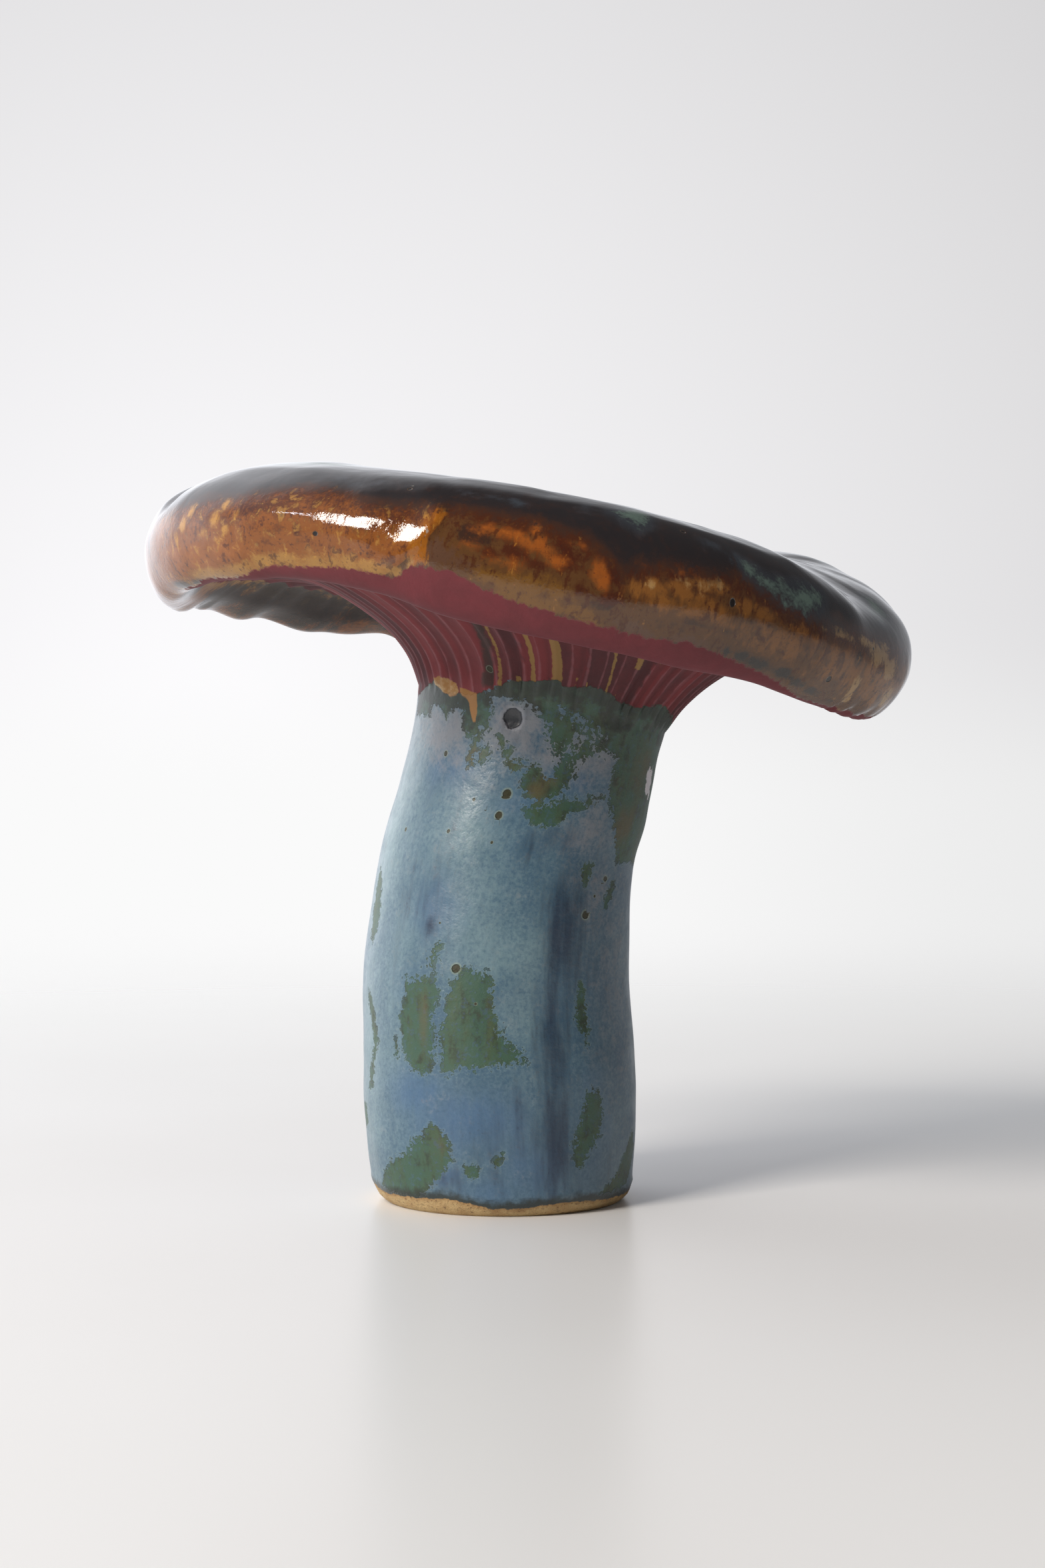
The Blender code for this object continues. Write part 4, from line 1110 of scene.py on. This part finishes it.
# The table fades out into the room: away from this place, and towards its near edge, in metres
FADE_MIDDLE = (0.02, -0.16, 0.0)
FADE_STARTS, FADE_WHOLE = 0.10, 0.66
NEAR_FADE_STARTS, NEAR_FADE_WHOLE = -0.19, -0.44
SMUDGE_SIZE_MM = 60.0


def table_material():
    """A white laminate table top: smooth and satin, fading out into the pale room behind it."""
    material = bpy.data.materials.new("white_laminate")
    material.use_nodes = True
    tree = material.node_tree
    tree.nodes.clear()
    place = add_node(tree, "ShaderNodeTexCoord", take="Object")
    inputs = {"Vector": place, "Scale": per_metre(SMUDGE_SIZE_MM), "Detail": 3.0}
    smudges = add_node(tree, "ShaderNodeTexNoise", inputs)
    roughness = add_node(tree, RANGE, {"Value": smudges, "To Min": 0.26, "To Max": 0.34})
    inputs = {"Base Color": srgb("#ECECEA"), "Roughness": roughness, "IOR": 1.22}
    laminate = add_node(tree, "ShaderNodeBsdfPrincipled", inputs)
    distance = add_node(tree, VECTOR_MATH, {0: place, 1: FADE_MIDDLE}, take="Value", operation="DISTANCE")
    inputs = {"Value": distance, "From Min": FADE_STARTS, "From Max": FADE_WHOLE}
    fade = add_node(tree, RANGE, inputs, interpolation_type="SMOOTHERSTEP")
    toward_us = add_node(tree, "ShaderNodeSeparateXYZ", {"Vector": place}, take="Y")
    inputs = {"Value": toward_us, "From Min": NEAR_FADE_STARTS, "From Max": NEAR_FADE_WHOLE}
    near_edge = add_node(tree, RANGE, inputs, interpolation_type="SMOOTHSTEP")
    fade = add_node(tree, MATH, {0: fade, 1: near_edge}, operation="MAXIMUM")
    clear = add_node(tree, "ShaderNodeBsdfTransparent")
    surface = add_node(tree, "ShaderNodeMixShader", {0: fade, 1: laminate, 2: clear})
    add_node(tree, "ShaderNodeOutputMaterial", {"Surface": surface})
    return material


# Where the room looks brightest, low on the left behind the piece
BRIGHTEST_WAY = (-0.09, 0.996, -0.03)


def pale_room(stage):
    """A world that looks pale from every side, and lights the piece from the left and from low behind."""
    world = bpy.data.worlds.new("pale_room")
    world.use_nodes = True
    tree = world.node_tree
    tree.nodes.clear()
    way = add_node(tree, "ShaderNodeTexCoord", take="Generated")
    along = {axis: add_node(tree, "ShaderNodeSeparateXYZ", {"Vector": way}, take=axis) for axis in "XYZ"}
    share = {}
    for name, axis, start, whole, least, most in (
        ("below", "Z", 0.01, -0.05, 0.0, 1.0),
        ("across", "X", 0.17, -0.02, 0.0, 1.0),
        ("low", "Z", 0.45, 0.10, 0.0, 1.0),
        ("behind", "Y", -0.3, 0.4, 0.0, stage.back_wall),
        ("leftward", "X", 0.50, -0.15, 0.20, 1.0),
    ):
        inputs = {"Value": along[axis], "From Min": start, "From Max": whole, "To Min": least, "To Max": most}
        share[name] = add_node(tree, RANGE, inputs, interpolation_type="SMOOTHSTEP")
    # What the camera sees: near white low on the left, a little greyer away from there
    from_bright = add_node(tree, VECTOR_MATH, {0: way, 1: BRIGHTEST_WAY}, take="Value", operation="DISTANCE")
    greyer = add_node(tree, RANGE, {"Value": from_bright, "From Min": 0.02, "From Max": 0.34})
    seen = add_node(tree, MIX, {0: greyer, 6: srgb("#FDFCFE"), 7: srgb("#D3D2D3")}, data_type="RGBA")
    inputs = {0: share["across"], 6: srgb("#EBEBEB"), 7: srgb("#FAFAFA")}
    floor = add_node(tree, MIX, inputs, data_type="RGBA")
    seen = add_node(tree, MIX, {0: share["below"], 6: seen, 7: floor}, data_type="RGBA")
    # What lights the piece
    light = stage.dim_room
    for toward, start, whole, strength in (
        ((-0.93, 0.05, 0.30), 0.30, 0.98, stage.side_wall),
        ((-0.50, 0.72, 0.46), 0.72, 0.99, stage.far_corner),
    ):
        inputs = {0: way, 1: Vector(toward).normalized()}
        facing = add_node(tree, VECTOR_MATH, inputs, take="Value", operation="DOT_PRODUCT")
        inputs = {"Value": facing, "From Min": start, "From Max": whole, "To Max": strength}
        lobe = add_node(tree, RANGE, inputs, interpolation_type="SMOOTHSTEP")
        light = add_node(tree, MATH, {0: lobe, 1: light}, operation="ADD")
    backdrop = add_node(tree, MATH, {0: share["low"], 1: share["behind"]}, operation="MULTIPLY")
    light = add_node(tree, MATH, {0: backdrop, 1: share["leftward"], 2: light}, operation="MULTIPLY_ADD")
    seen = add_node(tree, "ShaderNodeBackground", {"Color": seen, "Strength": 1.0})
    cast = add_node(tree, "ShaderNodeBackground", {"Color": srgb("#F2F4FA"), "Strength": light})
    to_camera = add_node(tree, "ShaderNodeLightPath", take="Is Camera Ray")
    surface = add_node(tree, "ShaderNodeMixShader", {0: to_camera, 1: cast, 2: seen})
    add_node(tree, "ShaderNodeOutputWorld", {"Surface": surface})
    return world


class StageSettings(bpy.types.PropertyGroup):
    """The table, the lights, the room and the camera."""

    table_radius: length_property("Table radius", 2.4, "Radius of the pale table top")
    window_size: FloatVectorProperty(
        name="Window size",
        description="Width and height of the cool window strip",
        default=(0.70, 0.08),
        size=2,
        unit="LENGTH",
    )
    window_power: FloatProperty(
        name="Window power", description="Power of the window strip", default=3.2, unit="POWER"
    )
    lamp_size: FloatVectorProperty(
        name="Lamp size",
        description="Width and height of the warm lamp",
        default=(0.66, 1.04),
        size=2,
        unit="LENGTH",
    )
    lamp_power: FloatProperty(
        name="Lamp power", description="Power of the warm lamp", default=44.0, unit="POWER"
    )
    light_distance: length_property("Light distance", 2.2, "How far the lights stand from the piece")
    side_wall: FloatProperty(name="Side wall", description="Light from the wall on the left", default=0.65)
    far_corner: FloatProperty(name="Far corner", description="Light from the far left corner", default=1.05)
    back_wall: FloatProperty(name="Back wall", description="Light from the low backdrop behind", default=1.0)
    dim_room: FloatProperty(name="Dim room", description="Light from the rest of the room", default=0.12)
    camera_place: FloatVectorProperty(
        name="Camera place",
        description="Where the camera stands",
        default=(2.5 * MM, -470.0 * MM, 75.0 * MM),
        subtype="TRANSLATION",
        unit="LENGTH",
    )
    camera_pitch: FloatProperty(
        name="Camera pitch",
        description="How far the camera looks down",
        default=radians(2.37),
        subtype="ANGLE",
    )


# What the lights point at, in metres
LIGHTS_AIM = (0.0, 0.0, 75.0 * MM)


class MUSHROOM_OT_add_stage(bpy.types.Operator):
    """Add the pale table, the lights, the room and the camera"""

    bl_idname = "mushroom.add_stage"
    bl_label = "Add stage"
    bl_options = {"REGISTER", "UNDO"}

    def execute(self, context):
        scene, stage = context.scene, context.scene.mushroom_stage
        bpy.ops.object.select_all(action="DESELECT")
        bpy.ops.mesh.primitive_circle_add(vertices=96, radius=stage.table_radius, fill_type="NGON")
        table = context.object
        table.name = table.data.name = "table_top"
        table.data.materials.append(table_material())
        for name, turn, rise, size, power, colour in (
            ("window_strip", -153.0, 32.0, stage.window_size, stage.window_power, srgb("#F6F6FF")),
            ("warm_lamp", -133.0, 33.0, stage.lamp_size, stage.lamp_power, srgb("#FFF7EF")),
        ):
            flat = cos(radians(rise))
            toward = Vector((flat * cos(radians(turn)), flat * sin(radians(turn)), sin(radians(rise))))
            place = Vector(LIGHTS_AIM) + toward * stage.light_distance
            bpy.ops.object.light_add(type="AREA", location=place)
            light = context.object
            light.name = light.data.name = name
            light.rotation_euler = toward.to_track_quat("Z", "Y").to_euler()
            light.data.shape = "RECTANGLE"
            light.data.size, light.data.size_y = size
            light.data.energy = power
            light.data.color = colour[:3]
        tilt = pi / 2.0 - stage.camera_pitch
        bpy.ops.object.camera_add(location=stage.camera_place, rotation=(tilt, 0.0, 0.0))
        camera = context.object
        camera.name = camera.data.name = "camera"
        camera.data.lens = 50.0
        camera.data.sensor_width = 22.26
        camera.data.clip_start = 0.02
        camera.data.clip_end = 20.0
        scene.camera = camera
        scene.world = pale_room(stage)
        scene.view_settings.view_transform = "Standard"
        return {"FINISHED"}


class MUSHROOM_PT_sidebar(bpy.types.Panel):
    """Lists the pieces and the stage, with their sizes and colours"""

    bl_idname = "MUSHROOM_PT_sidebar"
    bl_label = "Glazed mushroom"
    bl_space_type = "VIEW_3D"
    bl_region_type = "UI"
    bl_category = "Mushroom"

    def draw(self, context):
        scene = context.scene
        for settings, operator in (
            (scene.mushroom_sizes, MUSHROOM_OT_add_mushroom.bl_idname),
            (scene.mushroom_stage, MUSHROOM_OT_add_stage.bl_idname),
            (scene.mushroom_colours, None),
        ):
            box = self.layout.box()
            for name in settings.bl_rna.properties.keys():
                if name not in {"rna_type", "name"}:
                    box.prop(settings, name)
            if operator:
                box.operator(operator)


CLASSES = (
    MushroomSizes,
    MushroomColours,
    StageSettings,
    MUSHROOM_OT_add_mushroom,
    MUSHROOM_OT_add_stage,
    MUSHROOM_PT_sidebar,
)


def register():
    for cls in CLASSES:
        bpy.utils.register_class(cls)
    bpy.types.Scene.mushroom_sizes = PointerProperty(type=MushroomSizes)
    bpy.types.Scene.mushroom_colours = PointerProperty(type=MushroomColours)
    bpy.types.Scene.mushroom_stage = PointerProperty(type=StageSettings)


def unregister():
    del bpy.types.Scene.mushroom_stage
    del bpy.types.Scene.mushroom_colours
    del bpy.types.Scene.mushroom_sizes
    for cls in reversed(CLASSES):
        bpy.utils.unregister_class(cls)


def main():
    register()
    bpy.ops.mushroom.add_mushroom()
    bpy.ops.mushroom.add_stage()


if __name__ == "__main__":
    main()
